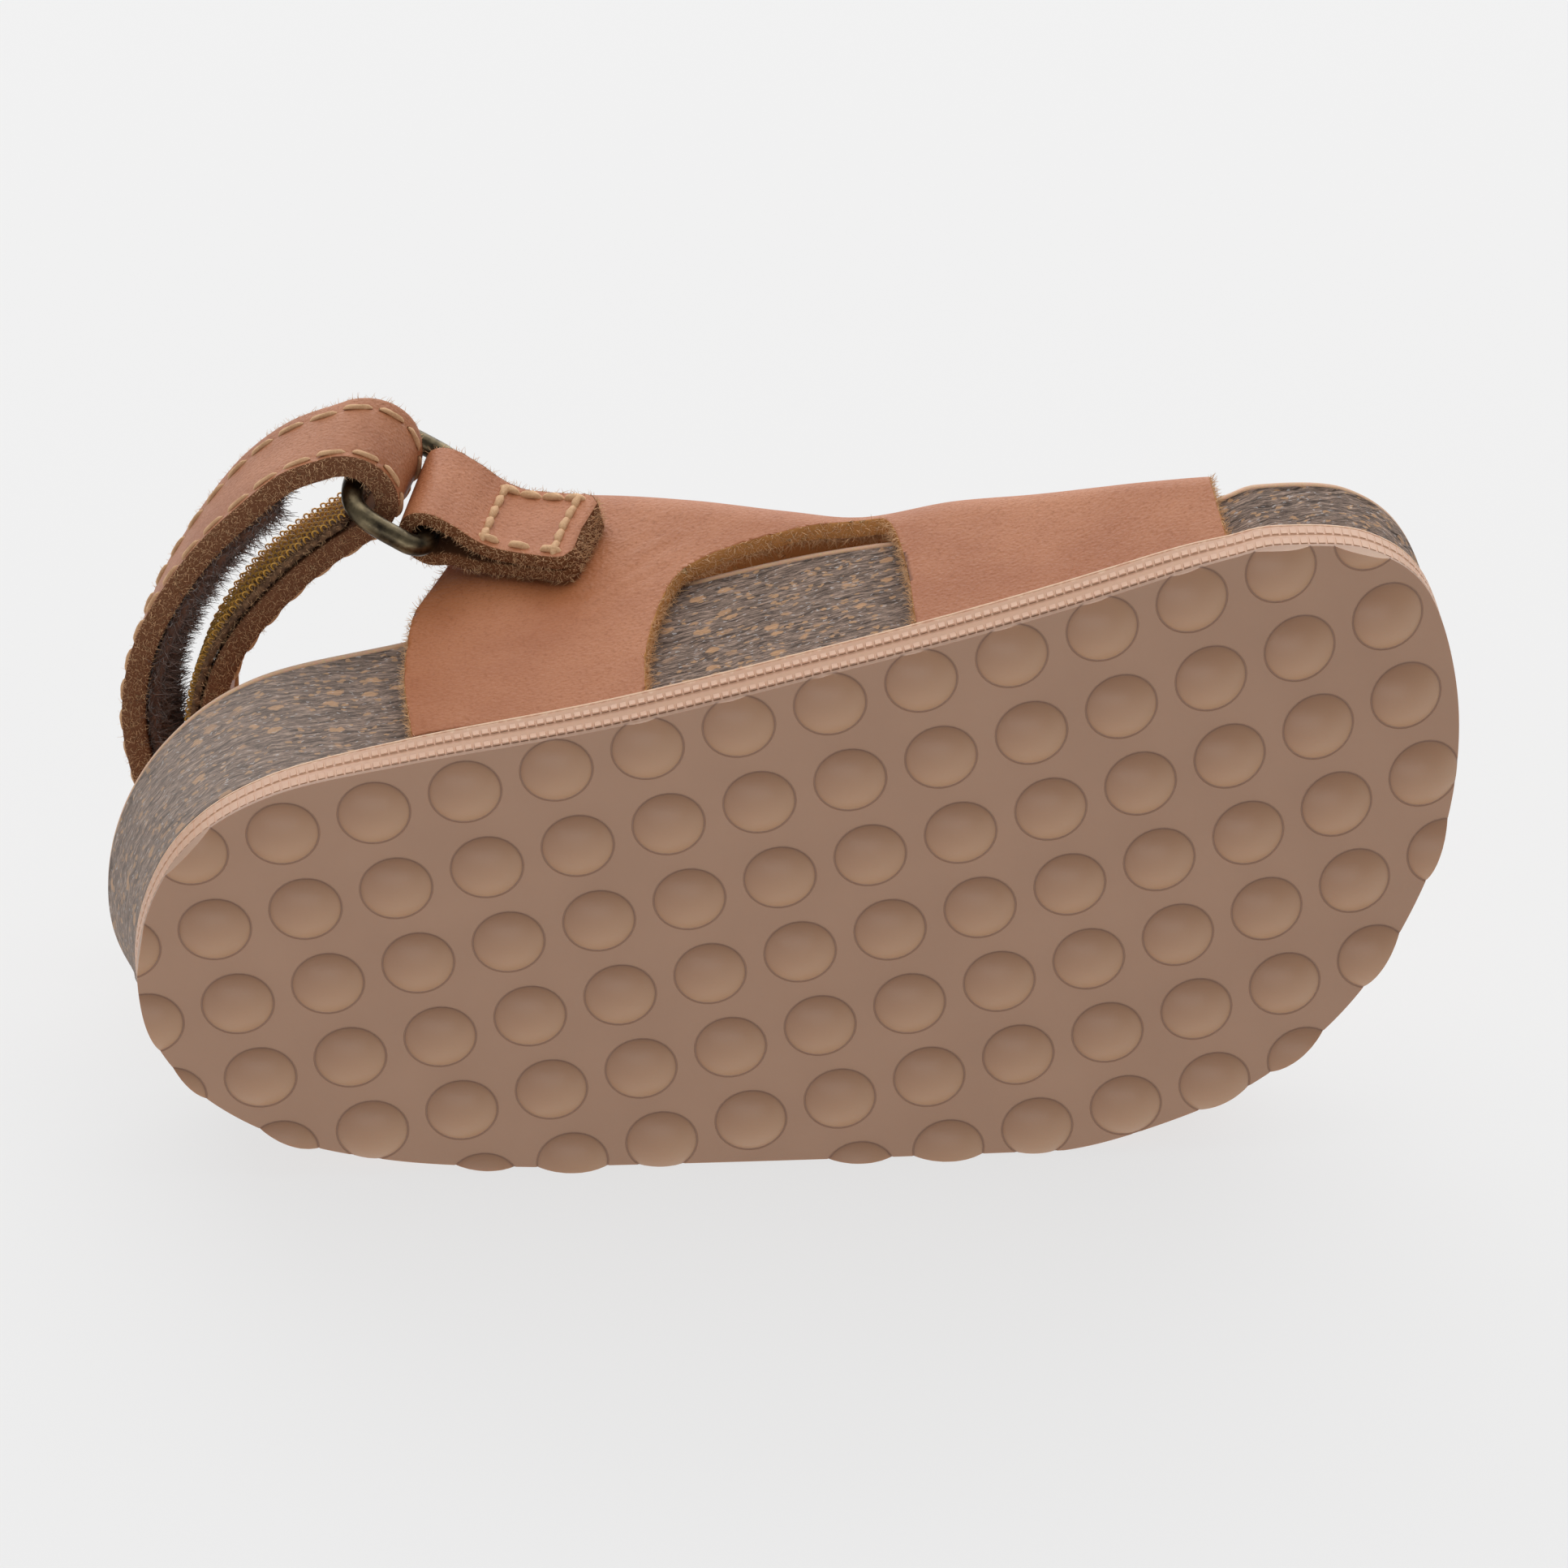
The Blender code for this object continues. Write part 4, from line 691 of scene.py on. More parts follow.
# Cut edges of the leather, from the side. Columns: x, height above the tread.
THROAT_EDGE = ((36.0, -8.0), (36.0, 0.0), (35.8, 10.0), (36.1, 18.0), (37.8, 28.0), (39.8, 32.4),
               (42.7, 38.0), (46.0, 45.5), (50.0, 53.0), (53.5, 61.0), (56.0, 76.0))
INNER_WINDOW = ((61.3, -8.0), (61.3, 0.0), (61.6, 6.0), (62.5, 13.5), (64.6, 21.0), (67.1, 26.2),
                (70.5, 28.4), (76.0, 29.2), (87.7, 28.8), (90.4, 27.2), (91.3, 18.0), (90.9, 6.0),
                (90.7, 0.0), (90.7, -8.0))
OUTER_WINDOW = ((57.0, -8.0), (57.0, 0.0), (58.0, 12.0), (60.5, 20.0), (65.0, 23.5), (72.0, 24.0),
                (79.0, 23.0), (82.0, 20.0), (82.5, 10.0), (82.0, 0.0), (82.0, -8.0))
# Front edge of the toe band, from above. Columns: x, y.
TOE_EDGE = ((125.2, -30.0), (125.8, -18.0), (126.2, -6.0), (125.0, 8.0), (121.0, 24.0), (114.0, 40.0),
            (110.0, 52.0))
# Rounded raw edge. Columns: share of the thickness down from the outer face, how far it stands in.
RAW_EDGE = ((0.07, 0.1), (0.22, 0.0), (0.42, 0.03), (0.6, 0.0), (0.8, 0.02), (0.94, 0.12))
EDGE_ROUNDING = 0.26
EDGE_ROUGHNESS = 0.12
# Creases on the inner side, near the ring's tab, as soft troughs with a low ridge along each side.
RIDGE_SHARE, RIDGE_OFFSET = 0.4, 1.6
# Columns: x and height at one end, x and height at the other end, width, depth.
CREASES = (
    (56.0, 27.5, 63.5, 33.0, 0.7, 0.16),
    (55.0, 25.5, 64.5, 30.5, 0.8, 0.2),
    (57.5, 24.0, 66.0, 28.8, 0.7, 0.14),
    (60.0, 32.5, 66.0, 35.5, 0.8, 0.14),
    (62.5, 30.0, 69.0, 33.5, 0.9, 0.15),
    (52.0, 22.0, 61.0, 25.0, 1.0, 0.1),
)


def last_section(x):
    """The last's columns at x, read along a smooth curve."""
    rows = LAST_ROWS
    return [float(np.interp(x, rows[:, 0], rows[:, column])) for column in range(1, 5)]


LAST_ROWS = smooth_path(LAST, 8)


def wall_y(x, outer):
    """y of the leather's outer face where its wall is upright."""
    return side_y(x, True) if outer else side_y(x, False) + INNER_WALL_INSET


def crease_depth(x, height):
    """How far the creases sink the leather at a point of the inner side."""
    depth = 0.0
    for x0, h0, x1, h1, width, deepest in CREASES:
        run = math.hypot(x1 - x0, h1 - h0)
        share = min(max(((x - x0) * (x1 - x0) + (height - h0) * (h1 - h0)) / run ** 2, 0.0), 1.0)
        bow = 0.5 * math.sin(math.pi * share)
        off = math.hypot(x - x0 - share * (x1 - x0), height - h0 - share * (h1 - h0) - bow)
        fade = math.sin(math.pi * min(max(share, 0.04), 0.96)) ** 0.5
        trough = math.exp(-(off / width) ** 2)
        ridge = RIDGE_SHARE * math.exp(-((off - RIDGE_OFFSET * width) / width) ** 2)
        depth += deepest * fade * (trough - ridge)
    return depth


def closed_distance(points):
    """Signed distance to a smooth closed line in a plane, above nought outside it."""
    line = smooth_path(points, 6)
    start, end = line, np.roll(line, -1, 0)
    run = end - start
    length = np.maximum((run ** 2).sum(1), 1e-9)

    def distance(a, b):
        share = np.clip(((a - start[:, 0]) * run[:, 0] + (b - start[:, 1]) * run[:, 1]) / length, 0.0, 1.0)
        off = np.hypot(a - start[:, 0] - share * run[:, 0], b - start[:, 1] - share * run[:, 1]).min()
        crossed = (start[:, 1] > b) != (end[:, 1] > b)
        at = start[:, 0] + (b - start[:, 1]) / np.where(run[:, 1] == 0.0, 1e-9, run[:, 1]) * run[:, 0]
        return -off if (crossed & (a < at)).sum() % 2 else off
    return distance


def trim(shape, distance):
    """Cuts a sheet where distance crosses nought and drops the part where it is below."""
    values = {vertex: distance(vertex.co) for vertex in shape.verts}
    for edge in list(shape.edges):
        first, second = edge.verts
        if values[first] * values[second] < 0.0:
            share = values[first] / (values[first] - values[second])
            values[bmesh.utils.edge_split(edge, first, share)[1]] = 0.0
    for face in list(shape.faces):
        on_line = [vertex for vertex in face.verts if values[vertex] == 0.0]
        if len(on_line) == 2 and not any(on_line[1] in edge.verts for edge in on_line[0].link_edges):
            bmesh.utils.face_split(face, *on_line)
    bmesh.ops.delete(shape, geom=[vertex for vertex in shape.verts if values[vertex] < 0.0], context="VERTS")


def thicken(shape, thickness, profile, rounding, roughness):
    """Gives a sheet its thickness inwards. Faces: 0 smooth side, 1 raw edge, 2 flesh side."""
    shape.normal_update()
    normals = {vertex: vertex.normal.copy() for vertex in shape.verts}
    places = {vertex: vertex.co.copy() for vertex in shape.verts}
    border = [edge for edge in shape.edges if edge.is_boundary]
    outward = {}
    for edge in border:
        face = edge.link_faces[0]
        first, second = edge.verts
        side = (second.co - first.co).cross(face.normal).normalized()
        if side.dot(face.calc_center_median() - first.co) > 0.0:
            side.negate()
        for vertex in edge.verts:
            outward[vertex] = outward.get(vertex, Vector()) + side
    faces = list(shape.faces)
    under = {vertex: shape.verts.new(places[vertex] - normals[vertex] * thickness) for vertex in normals}
    ladders = {}
    for vertex, out in outward.items():
        out.normalize()
        vertex.co = places[vertex] - out * rounding
        under[vertex].co -= out * rounding
        steps = [vertex]
        for share, inset in profile:
            wobble = roughness * noise.noise(places[vertex] * 0.9 + Vector((0.0, 0.0, 7.0 * share)))
            steps.append(shape.verts.new(places[vertex] - normals[vertex] * thickness * share
                                         - out * (inset + roughness - wobble)))
        ladders[vertex] = steps + [under[vertex]]
    for face in faces:
        face.material_index = 0
        face.smooth = True
        flesh = shape.faces.new([under[vertex] for vertex in reversed(face.verts)])
        flesh.material_index = 2
        flesh.smooth = True
    for edge in border:
        loop = edge.link_loops[0]
        first, second = loop.vert, loop.link_loop_next.vert
        for step in range(len(profile) + 1):
            rim = shape.faces.new((ladders[second][step], ladders[first][step],
                                   ladders[first][step + 1], ladders[second][step + 1]))
            rim.material_index = 1
            rim.smooth = True


def leather(name, colours, grain_scale):
    """Full-grain cowhide, dyed and waxed: an even tan with clouds, pores and a soft gloss."""
    made, tree, shader = new_material(name, colours[1], 0.5)
    place = add_node(tree, "ShaderNodeAttribute", {"attribute_name": "shoe_mm"}, {}).outputs["Vector"]
    cloud = add_node(tree, "ShaderNodeTexNoise", {}, {
        "Vector": place, "Scale": 0.11, "Detail": 5.0}).outputs[0]
    cloud = add_node(tree, "ShaderNodeMapRange", {}, {
        "Value": cloud, "From Min": 0.3, "From Max": 0.7, "To Min": 0.0, "To Max": 1.0}).outputs[0]
    # Pores lie about 0.4 mm apart, twice the real distance, so that they show.
    pores = add_node(tree, "ShaderNodeTexVoronoi", {"feature": "SMOOTH_F1"}, {
        "Vector": place, "Scale": grain_scale}).outputs["Distance"]
    hide = add_node(tree, "ShaderNodeTexNoise", {}, {
        "Vector": place, "Scale": 1.1 * grain_scale, "Detail": 5.0, "Roughness": 0.65}).outputs[0]
    tone = add_node(tree, "ShaderNodeMix", {"data_type": "RGBA"}, {
        0: cloud, 6: linear_colour(colours[0]), 7: linear_colour(colours[2])}).outputs[2]
    speck = add_node(tree, "ShaderNodeMapRange", {}, {
        "Value": hide, "From Min": 0.52, "From Max": 0.72, "To Min": 0.0, "To Max": 0.55}).outputs[0]
    tone = add_node(tree, "ShaderNodeMix", {"data_type": "RGBA"}, {
        0: speck, 6: tone, 7: linear_colour(colours[3])}).outputs[2]
    # Painted shade darkens the wall towards its foot, below the paler crest, and glue and rubbed dirt darken
    # the foot of the leather.
    height = add_node(tree, "ShaderNodeSeparateXYZ", {}, {0: place}).outputs["Z"]
    deep = add_node(tree, "ShaderNodeMapRange", {"interpolation_type": "SMOOTHSTEP"}, {
        "Value": height, "From Min": 4.0, "From Max": 26.0, "To Min": 0.32, "To Max": 0.0}).outputs[0]
    tone = add_node(tree, "ShaderNodeMix", {"data_type": "RGBA"}, {
        0: deep, 6: tone, 7: linear_colour("#93501F")}).outputs[2]
    ragged = add_node(tree, "ShaderNodeMath", {"operation": "MULTIPLY_ADD"}, {
        0: hide, 1: -1.6, 2: height}).outputs[0]
    foot = add_node(tree, "ShaderNodeMapRange", {"interpolation_type": "SMOOTHSTEP"}, {
        "Value": ragged, "From Min": 3.6, "From Max": 4.3, "To Min": 0.85, "To Max": 0.0}).outputs[0]
    tone = add_node(tree, "ShaderNodeMix", {"data_type": "RGBA"}, {
        0: foot, 6: tone, 7: linear_colour("#6B3A1E")}).outputs[2]
    tree.links.new(tone, shader.inputs["Base Color"])
    relief = add_node(tree, "ShaderNodeMath", {"operation": "ADD"}, {0: pores, 1: hide}).outputs[0]
    bump = add_node(tree, "ShaderNodeBump", {}, {"Strength": 0.7, "Distance": 0.00012, "Height": relief})
    tree.links.new(bump.outputs[0], shader.inputs["Normal"])
    gloss = add_node(tree, "ShaderNodeMapRange", {}, {
        "Value": hide, "From Min": 0.3, "From Max": 0.7, "To Min": 0.42, "To Max": 0.62}).outputs[0]
    tree.links.new(gloss, shader.inputs["Roughness"])
    shader.inputs["Specular IOR Level"].default_value = 0.25
    shader.inputs["Coat Weight"].default_value = 0.05
    shader.inputs["Coat Roughness"].default_value = 0.4
    return made


def raw_leather(name, dark, pale, fibre_scale):
    """A cut or flesh side: a felt of curled fibres, golden at their tips and dark between."""
    made, tree, shader = new_material(name, pale, 0.95)
    place = add_node(tree, "ShaderNodeAttribute", {"attribute_name": "shoe_mm"}, {}).outputs["Vector"]
    curl = add_node(tree, "ShaderNodeTexNoise", {}, {"Vector": place, "Scale": 1.6, "Detail": 3.0}).outputs[1]
    curl = add_node(tree, "ShaderNodeVectorMath", {"operation": "SCALE"}, {0: curl, "Scale": 2.4}).outputs[0]
    curled = add_node(tree, "ShaderNodeVectorMath", {"operation": "ADD"}, {0: place, 1: curl}).outputs[0]
    felt = add_node(tree, "ShaderNodeTexNoise", {"noise_type": "RIDGED_MULTIFRACTAL", "normalize": True}, {
        "Vector": curled, "Scale": fibre_scale, "Detail": 4.0, "Roughness": 0.6}).outputs[0]
    felt = add_node(tree, "ShaderNodeMapRange", {}, {
        "Value": felt, "From Min": 0.2, "From Max": 0.62, "To Min": 0.0, "To Max": 1.0}).outputs[0]
    blotch = add_node(tree, "ShaderNodeTexNoise", {}, {
        "Vector": place, "Scale": 0.7, "Detail": 4.0}).outputs[0]
    blotch = add_node(tree, "ShaderNodeMapRange", {}, {
        "Value": blotch, "From Min": 0.36, "From Max": 0.58, "To Min": 0.35, "To Max": 1.0}).outputs[0]
    share = add_node(tree, "ShaderNodeMath", {"operation": "MULTIPLY"}, {0: felt, 1: blotch}).outputs[0]
    tone = add_node(tree, "ShaderNodeMix", {"data_type": "RGBA"}, {
        0: share, 6: linear_colour(dark), 7: linear_colour(pale)}).outputs[2]
    # Glue has soaked the foot of a cut edge dark.
    height = add_node(tree, "ShaderNodeSeparateXYZ", {}, {0: place}).outputs["Z"]
    height = add_node(tree, "ShaderNodeMath", {"operation": "MULTIPLY_ADD"}, {
        0: blotch, 1: -1.2, 2: height}).outputs[0]
    soaked = add_node(tree, "ShaderNodeMapRange", {"interpolation_type": "SMOOTHSTEP"}, {
        "Value": height, "From Min": 4.0, "From Max": 5.2, "To Min": 0.85, "To Max": 0.0}).outputs[0]
    tone = add_node(tree, "ShaderNodeMix", {"data_type": "RGBA"}, {
        0: soaked, 6: tone, 7: linear_colour("#3A2018")}).outputs[2]
    tree.links.new(tone, shader.inputs["Base Color"])
    bump = add_node(tree, "ShaderNodeBump", {}, {"Strength": 1.0, "Distance": 0.0003, "Height": share})
    tree.links.new(bump.outputs[0], shader.inputs["Normal"])
    shader.inputs["Specular IOR Level"].default_value = 0.2
    return made


tan = leather("tan_cowhide", ("#9F5D34", "#A6643B", "#B07048", "#7A4220"), 2.4)
raw_edge = raw_leather("raw_leather_edge", "#BC8650", "#FFE0B0", 1.5)
flesh_side = raw_leather("leather_flesh_side", "#C08A54", "#F8CC94", 1.0)

sections = []
for x in np.arange(LAST[0][0], LAST[-1][0] + 0.1, SHEET_STEP):
    inner_shoulder, crest, crest_y, outer_shoulder = last_section(x)
    section = []
    for outer, shoulder in ((False, inner_shoulder), (True, outer_shoulder)):
        wall = wall_y(x, outer)
        steps = OUTER_WALL_STEPS if outer else INNER_WALL_STEPS
        half = []
        for step in range(steps):
            height = CORK_FOOT + (shoulder - CORK_FOOT) * step / steps
            sink = crease_depth(x, height) if not outer else 0.0
            half.append((x, wall + sink, height))
        for step in range(CREST_STEPS):
            turn = 0.5 * math.pi * step / CREST_STEPS
            height = shoulder + (crest - shoulder) * math.sin(turn)
            sink = crease_depth(x, height) if not outer else 0.0
            half.append((x, crest_y + (wall - crest_y) * math.cos(turn) + sink, height))
        if outer:
            section.append((x, crest_y, crest))
            half.reverse()
        section += half
    sections.append(section)
shape = bmesh.new()
skin(shape, sections, closed=False)
bmesh.ops.recalc_face_normals(shape, faces=shape.faces)
shape.faces.ensure_lookup_table()
if shape.faces[len(shape.faces) // 2].normal.z < 0.0:
    bmesh.ops.reverse_faces(shape, faces=shape.faces)
throat = smooth_path(THROAT_EDGE, 6)
toes = smooth_path(TOE_EDGE, 6)
inner_window = closed_distance(INNER_WINDOW)
outer_window = closed_distance(OUTER_WINDOW)
trim(shape, lambda place: place.x - float(np.interp(place.z, throat[:, 1], throat[:, 0])))
trim(shape, lambda place: float(np.interp(place.y, toes[:, 1], toes[:, 0])) - place.x)
trim(shape, lambda place: inner_window(place.x, place.z) if place.y < INNER_CUT_Y else UNCUT)
trim(shape, lambda place: outer_window(place.x, place.z) if place.y > OUTER_CUT_Y else UNCUT)
bmesh.ops.remove_doubles(shape, verts=shape.verts, dist=SHEET_MERGE)
thicken(shape, LEATHER, RAW_EDGE, EDGE_ROUNDING, EDGE_ROUGHNESS)
upper_drawn = shape.copy()
upper = lay("upper_leather", shape, tan, raw_edge, flesh_side)
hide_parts("upper")
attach(upper, "root")

# The raw edges' fibres: short hairs scattered over the cut faces, with a fixed seed.
scatter_tree, given, result = node_tree("fibres_on_faces", (
    ("Fibre", "Object"), ("Per Square", "Float"), ("Seed", "Int"), ("Lean", "Float"), ("Finish", "Material")))
spots = add_node(scatter_tree, "GeometryNodeDistributePointsOnFaces", {}, {
    "Mesh": given["Geometry"], "Density": given["Per Square"], "Seed": given["Seed"]})
leaning = add_node(scatter_tree, "FunctionNodeRandomValue", {"data_type": "FLOAT_VECTOR"}, {
    0: (-1.0, -1.0, -1.0), 1: (1.0, 1.0, 1.0), "Seed": given["Seed"]})
leaning = add_node(scatter_tree, "ShaderNodeVectorMath", {"operation": "SCALE"}, {
    0: leaning.outputs[0], "Scale": given["Lean"]}).outputs[0]
aimed = add_node(scatter_tree, "ShaderNodeVectorMath", {"operation": "ADD"}, {
    0: spots.outputs["Normal"], 1: leaning}).outputs[0]
stood = add_node(scatter_tree, "FunctionNodeAlignRotationToVector", {"axis": "Z"}, {"Vector": aimed})
spin = add_node(scatter_tree, "FunctionNodeRandomValue", {"data_type": "FLOAT"}, {
    2: 0.0, 3: 6.283, "Seed": given["Seed"]}).outputs[1]
spun = add_node(scatter_tree, "FunctionNodeAxisAngleToRotation", {}, {"Angle": spin}).outputs[0]
turned = add_node(scatter_tree, "FunctionNodeRotateRotation", {"rotation_space": "LOCAL"}, {
    "Rotation": stood.outputs[0], "Rotate By": spun})
sizes = add_node(scatter_tree, "FunctionNodeRandomValue", {"data_type": "FLOAT"}, {
    2: 0.45, 3: 1.2, "Seed": given["Seed"]}).outputs[1]
fibre_in = add_node(scatter_tree, "GeometryNodeObjectInfo", {}, {"Object": given["Fibre"]})
strewn = add_node(scatter_tree, "GeometryNodeInstanceOnPoints", {}, {
    "Points": spots.outputs["Points"], "Instance": fibre_in.outputs["Geometry"],
    "Rotation": turned.outputs[0], "Scale": sizes})
strewn_real = add_node(scatter_tree, "GeometryNodeRealizeInstances", {}, {"Geometry": strewn.outputs[0]})
strewn_coated = add_node(scatter_tree, "GeometryNodeSetMaterial", {}, {
    "Geometry": strewn_real.outputs[0], "Material": given["Finish"]})
scatter_tree.links.new(strewn_coated.outputs[0], result["Geometry"])


def fibre(length, radius, curl):
    """One hair: a thin three-sided thread that tapers and curls over."""
    shape = bmesh.new()
    rings = []
    for step in range(3):
        share = step / 2.0
        thick = radius * (1.0 - 0.75 * share)
        rings.append([(curl * share ** 2 + thick * math.cos(a), thick * math.sin(a), length * share - 0.08)
                      for a in (2.0 * math.pi * k / 3.0 for k in range(3))])
    skin(shape, rings)
    bmesh.ops.recalc_face_normals(shape, faces=shape.faces)
    return drawing("fibre", shape)


def strewn_on(shape, chosen, hair, per_square, lean, seed, finish):
    """Fibres scattered on the faces of a flat-drawn shape that chosen() picks, as a bmesh."""
    bed = shape.copy()
    bmesh.ops.delete(bed, geom=[face for face in bed.faces if not chosen(face)], context="FACES")
    ground = drawing("ground", bed)
    run_tree(scatter_tree, ground, {"Fibre": hair, "Per Square": per_square, "Seed": seed, "Lean": lean,
                                    "Finish": finish})
    strewn = taken_from(ground)
    bpy.data.objects.remove(hair, do_unlink=True)
    return strewn


def gathered(name, drawn, *finishes):
    """Lays several drawn rows as one piece."""
    shape = bmesh.new()
    for part in drawn:
        mesh = bpy.data.meshes.new("part")
        part.to_mesh(mesh)
        part.free()
        shape.from_mesh(mesh)
    for face in shape.faces:
        face.material_index = 0
        face.smooth = True
    return lay(name, shape, *finishes)


# Loose leather fibres: dry and pale. Real ones are thinner, and these are as thick as they must be to show.
fray, tree, shader = new_material("leather_fibre", "#E4BA8E", 0.9)
# Sizes of a fibre: length, radius, curl. Fibres on a square millimetre, how far they lean, and the seed.
EDGE_FIBRE, EDGE_FIBRES = (0.8, 0.055, 0.6), (9.0, 1.1, 3)
WINDOW_FIBRE, WINDOW_FIBRES = (1.6, 0.06, 0.9), (11.0, 1.1, 8)
WINDOW_REACH = 3.5


def by_window(face):
    """Whether a face of the flesh side lies close to the inner window's edge."""
    at = face.calc_center_median()
    return face.material_index == 2 and at.y < INNER_CUT_Y and 0.0 < inner_window(at.x, at.z) < WINDOW_REACH


def cut_edge(face):
    """Whether a face is part of a raw cut edge."""
    return face.material_index == 1


upper_fibres = strewn_on(upper_drawn, cut_edge, fibre(*EDGE_FIBRE), *EDGE_FIBRES, fray)
window_fibres = strewn_on(upper_drawn, by_window, fibre(*WINDOW_FIBRE), *WINDOW_FIBRES, fray)
upper_drawn.free()
upper_fray = gathered("upper_edge_fibres", [upper_fibres, window_fibres], fray)
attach(upper_fray, "root")

# Ring. Round wire bent to a D and closed, in brass with a dark antique finish that is rubbed on the bow.
WIRE_RADIUS = 1.2
RING_BAR_MIDDLE = Vector((43.5, -28.3, 42.5))
RING_HALF_LENGTH = 8.9
RING_UPPER_HALF = 8.5
RING_DEPTH = 9.8
RING_SQUARENESS = 4.2
RING_CORNER = 2.2
RING_STAND_OUT = math.radians(39.5)
RING_SLANT = math.radians(72.0)
BOW_POINTS = 64
CORNER_POINTS = 10

# Brass under a dark antique finish: a metal that is brighter where it is rubbed.
brass, tree, shader = new_material("antique_brass", "#6B6250", 0.34)
shader.inputs["Metallic"].default_value = 1.0
flat_place = add_node(tree, "ShaderNodeAttribute", {"attribute_name": "shoe_mm"}, {}).outputs["Vector"]
rubbed = add_node(tree, "ShaderNodeTexNoise", {}, {
    "Vector": flat_place, "Scale": 0.5, "Detail": 5.0}).outputs[0]
rubbed = add_node(tree, "ShaderNodeMapRange", {}, {
    "Value": rubbed, "From Min": 0.35, "From Max": 0.65, "To Min": 0.0, "To Max": 1.0}).outputs[0]
tone = add_node(tree, "ShaderNodeMix", {"data_type": "RGBA"}, {
    0: rubbed, 6: linear_colour("#39332A"), 7: linear_colour("#7A6E56")}).outputs[2]
tree.links.new(tone, shader.inputs["Base Color"])
scratch = add_node(tree, "ShaderNodeTexNoise", {}, {
    "Vector": flat_place, "Scale": 4.0, "Detail": 4.0}).outputs[0]
gloss = add_node(tree, "ShaderNodeMapRange", {}, {
    "Value": scratch, "From Min": 0.3, "From Max": 0.7, "To Min": 0.26, "To Max": 0.5}).outputs[0]
tree.links.new(gloss, shader.inputs["Roughness"])

bar = Vector((math.cos(RING_SLANT), 0.0, math.sin(RING_SLANT)))
back = Vector((-bar.z, 0.0, bar.x))
bow = back * math.cos(RING_STAND_OUT) + Vector((0.0, -1.0, 0.0)) * math.sin(RING_STAND_OUT)
path = []
for point in range(BOW_POINTS + 1):
    turn = math.pi * point / BOW_POINTS
    across, deep = math.cos(turn), math.sin(turn)
    across = math.copysign(abs(across) ** (2.0 / RING_SQUARENESS), across)
    deep = max(deep, 0.0) ** (2.0 / RING_SQUARENESS)
    path.append((across * (RING_UPPER_HALF if across > 0.0 else RING_HALF_LENGTH),
                 RING_CORNER + deep * (RING_DEPTH - RING_CORNER)))
for end in (-1.0, 1.0):
    half_length = RING_UPPER_HALF if end > 0.0 else RING_HALF_LENGTH
    for step in range(1, CORNER_POINTS + 1):
        angle = 0.5 * math.pi * (step if end < 0.0 else CORNER_POINTS + 1 - step) / CORNER_POINTS
        path.append((end * (half_length - RING_CORNER + RING_CORNER * math.cos(angle)),
                     RING_CORNER * (1.0 - math.sin(angle))))
curve = bpy.data.curves.new("ring_wire", "CURVE")
curve.dimensions = "3D"
curve.bevel_depth = WIRE_RADIUS
curve.bevel_resolution = 6
spline = curve.splines.new("POLY")
spline.points.add(len(path) - 1)
for target, (across, deep) in zip(spline.points, path):
    target.co = (*(RING_BAR_MIDDLE + bar * across + bow * deep), 1.0)
spline.use_cyclic_u = True
wire = bpy.data.objects.new("ring_wire", curve)
bpy.context.scene.collection.objects.link(wire)
shape = taken_from(wire)
bmesh.ops.remove_doubles(shape, verts=shape.verts, dist=0.001)
ring = lay("ring_wire", shape, brass)
ring.data.shade_smooth()
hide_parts("ring")
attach(ring, "root")

# Ring tab. A strip of the same leather, laid double round the ring's bar and sewn through the upper with
# a box of thick waxed thread. Its edges are cut raw.
TAB_SLOPE = math.radians(-29.0)
TAB_LENGTH = 16.6
TAB_HALF_WIDTH_TAIL = 6.1
TAB_HALF_WIDTH_EYE = 6.9
TAB_LAYER = 1.62
TAB_FLARE_RUN = 8.0
# Share of the width that a cut edge reaches on average.
CUT_WIDTH = 0.985
TAB_CORNER = 2.0
EYE_SLACK = 0.65
# The tail is cut a little askew: how much longer and wider it is on its far side.
TAB_SKEW = 0.8
TAB_SPREAD = 1.2
# Middle of the strip, from the tail's lower layer round the bar and back over it.
# Columns: distance along from the bar, distance out from the upper. The loop is added between the halves.
LOWER_LAYER = ((16.6, 1.15), (13.0, 1.15), (9.5, 1.15), (6.5, 1.2), (4.2, 1.55), (2.2, 2.1))
UPPER_LAYER = ((2.0, 6.6), (3.3, 5.75), (4.7, 4.55), (6.1, 3.7), (7.7, 3.15), (9.8, 2.95), (13.0, 2.85),
               (16.6, 2.85))
# Cross-section of a leather strip: columns: share of the half thickness, share of the half width.
# The first part is the smooth face, the rest goes round by one edge, the flesh side and the other edge.
TAB_TOP = [(1.0, level) for level in (-0.955, -0.9, -0.75, -0.5, -0.25, 0.0, 0.25, 0.5, 0.75, 0.9, 0.955)]
STRIP_EDGE = ((0.86, 0.985), (0.5, 1.0), (0.1, 0.992), (-0.4, 1.0), (-0.86, 0.985))
STITCH_LENGTH = 2.7
BOX_STITCH_THICKNESS = 0.47
# The thread is laid from three plies.
PLIES, PLY_DEPTH, PLY_TWIST = 3.0, 0.16, 2.4
TAB_FIBRE, TAB_FIBRES = (0.6, 0.042, 0.5), (12.0, 0.9, 4)


def strip_section(top):
    """The closed section of a strip: smooth face, edge, flesh side, edge. Each row ends with its finish."""
    section = [(a, b, 0) for a, b in top]
    section += [(a, b, 1) for a, b in STRIP_EDGE]
    section += [(-a, -b, 2) for a, b in top]
    section += [(-a, -b, 1) for a, b in STRIP_EDGE]
    return section


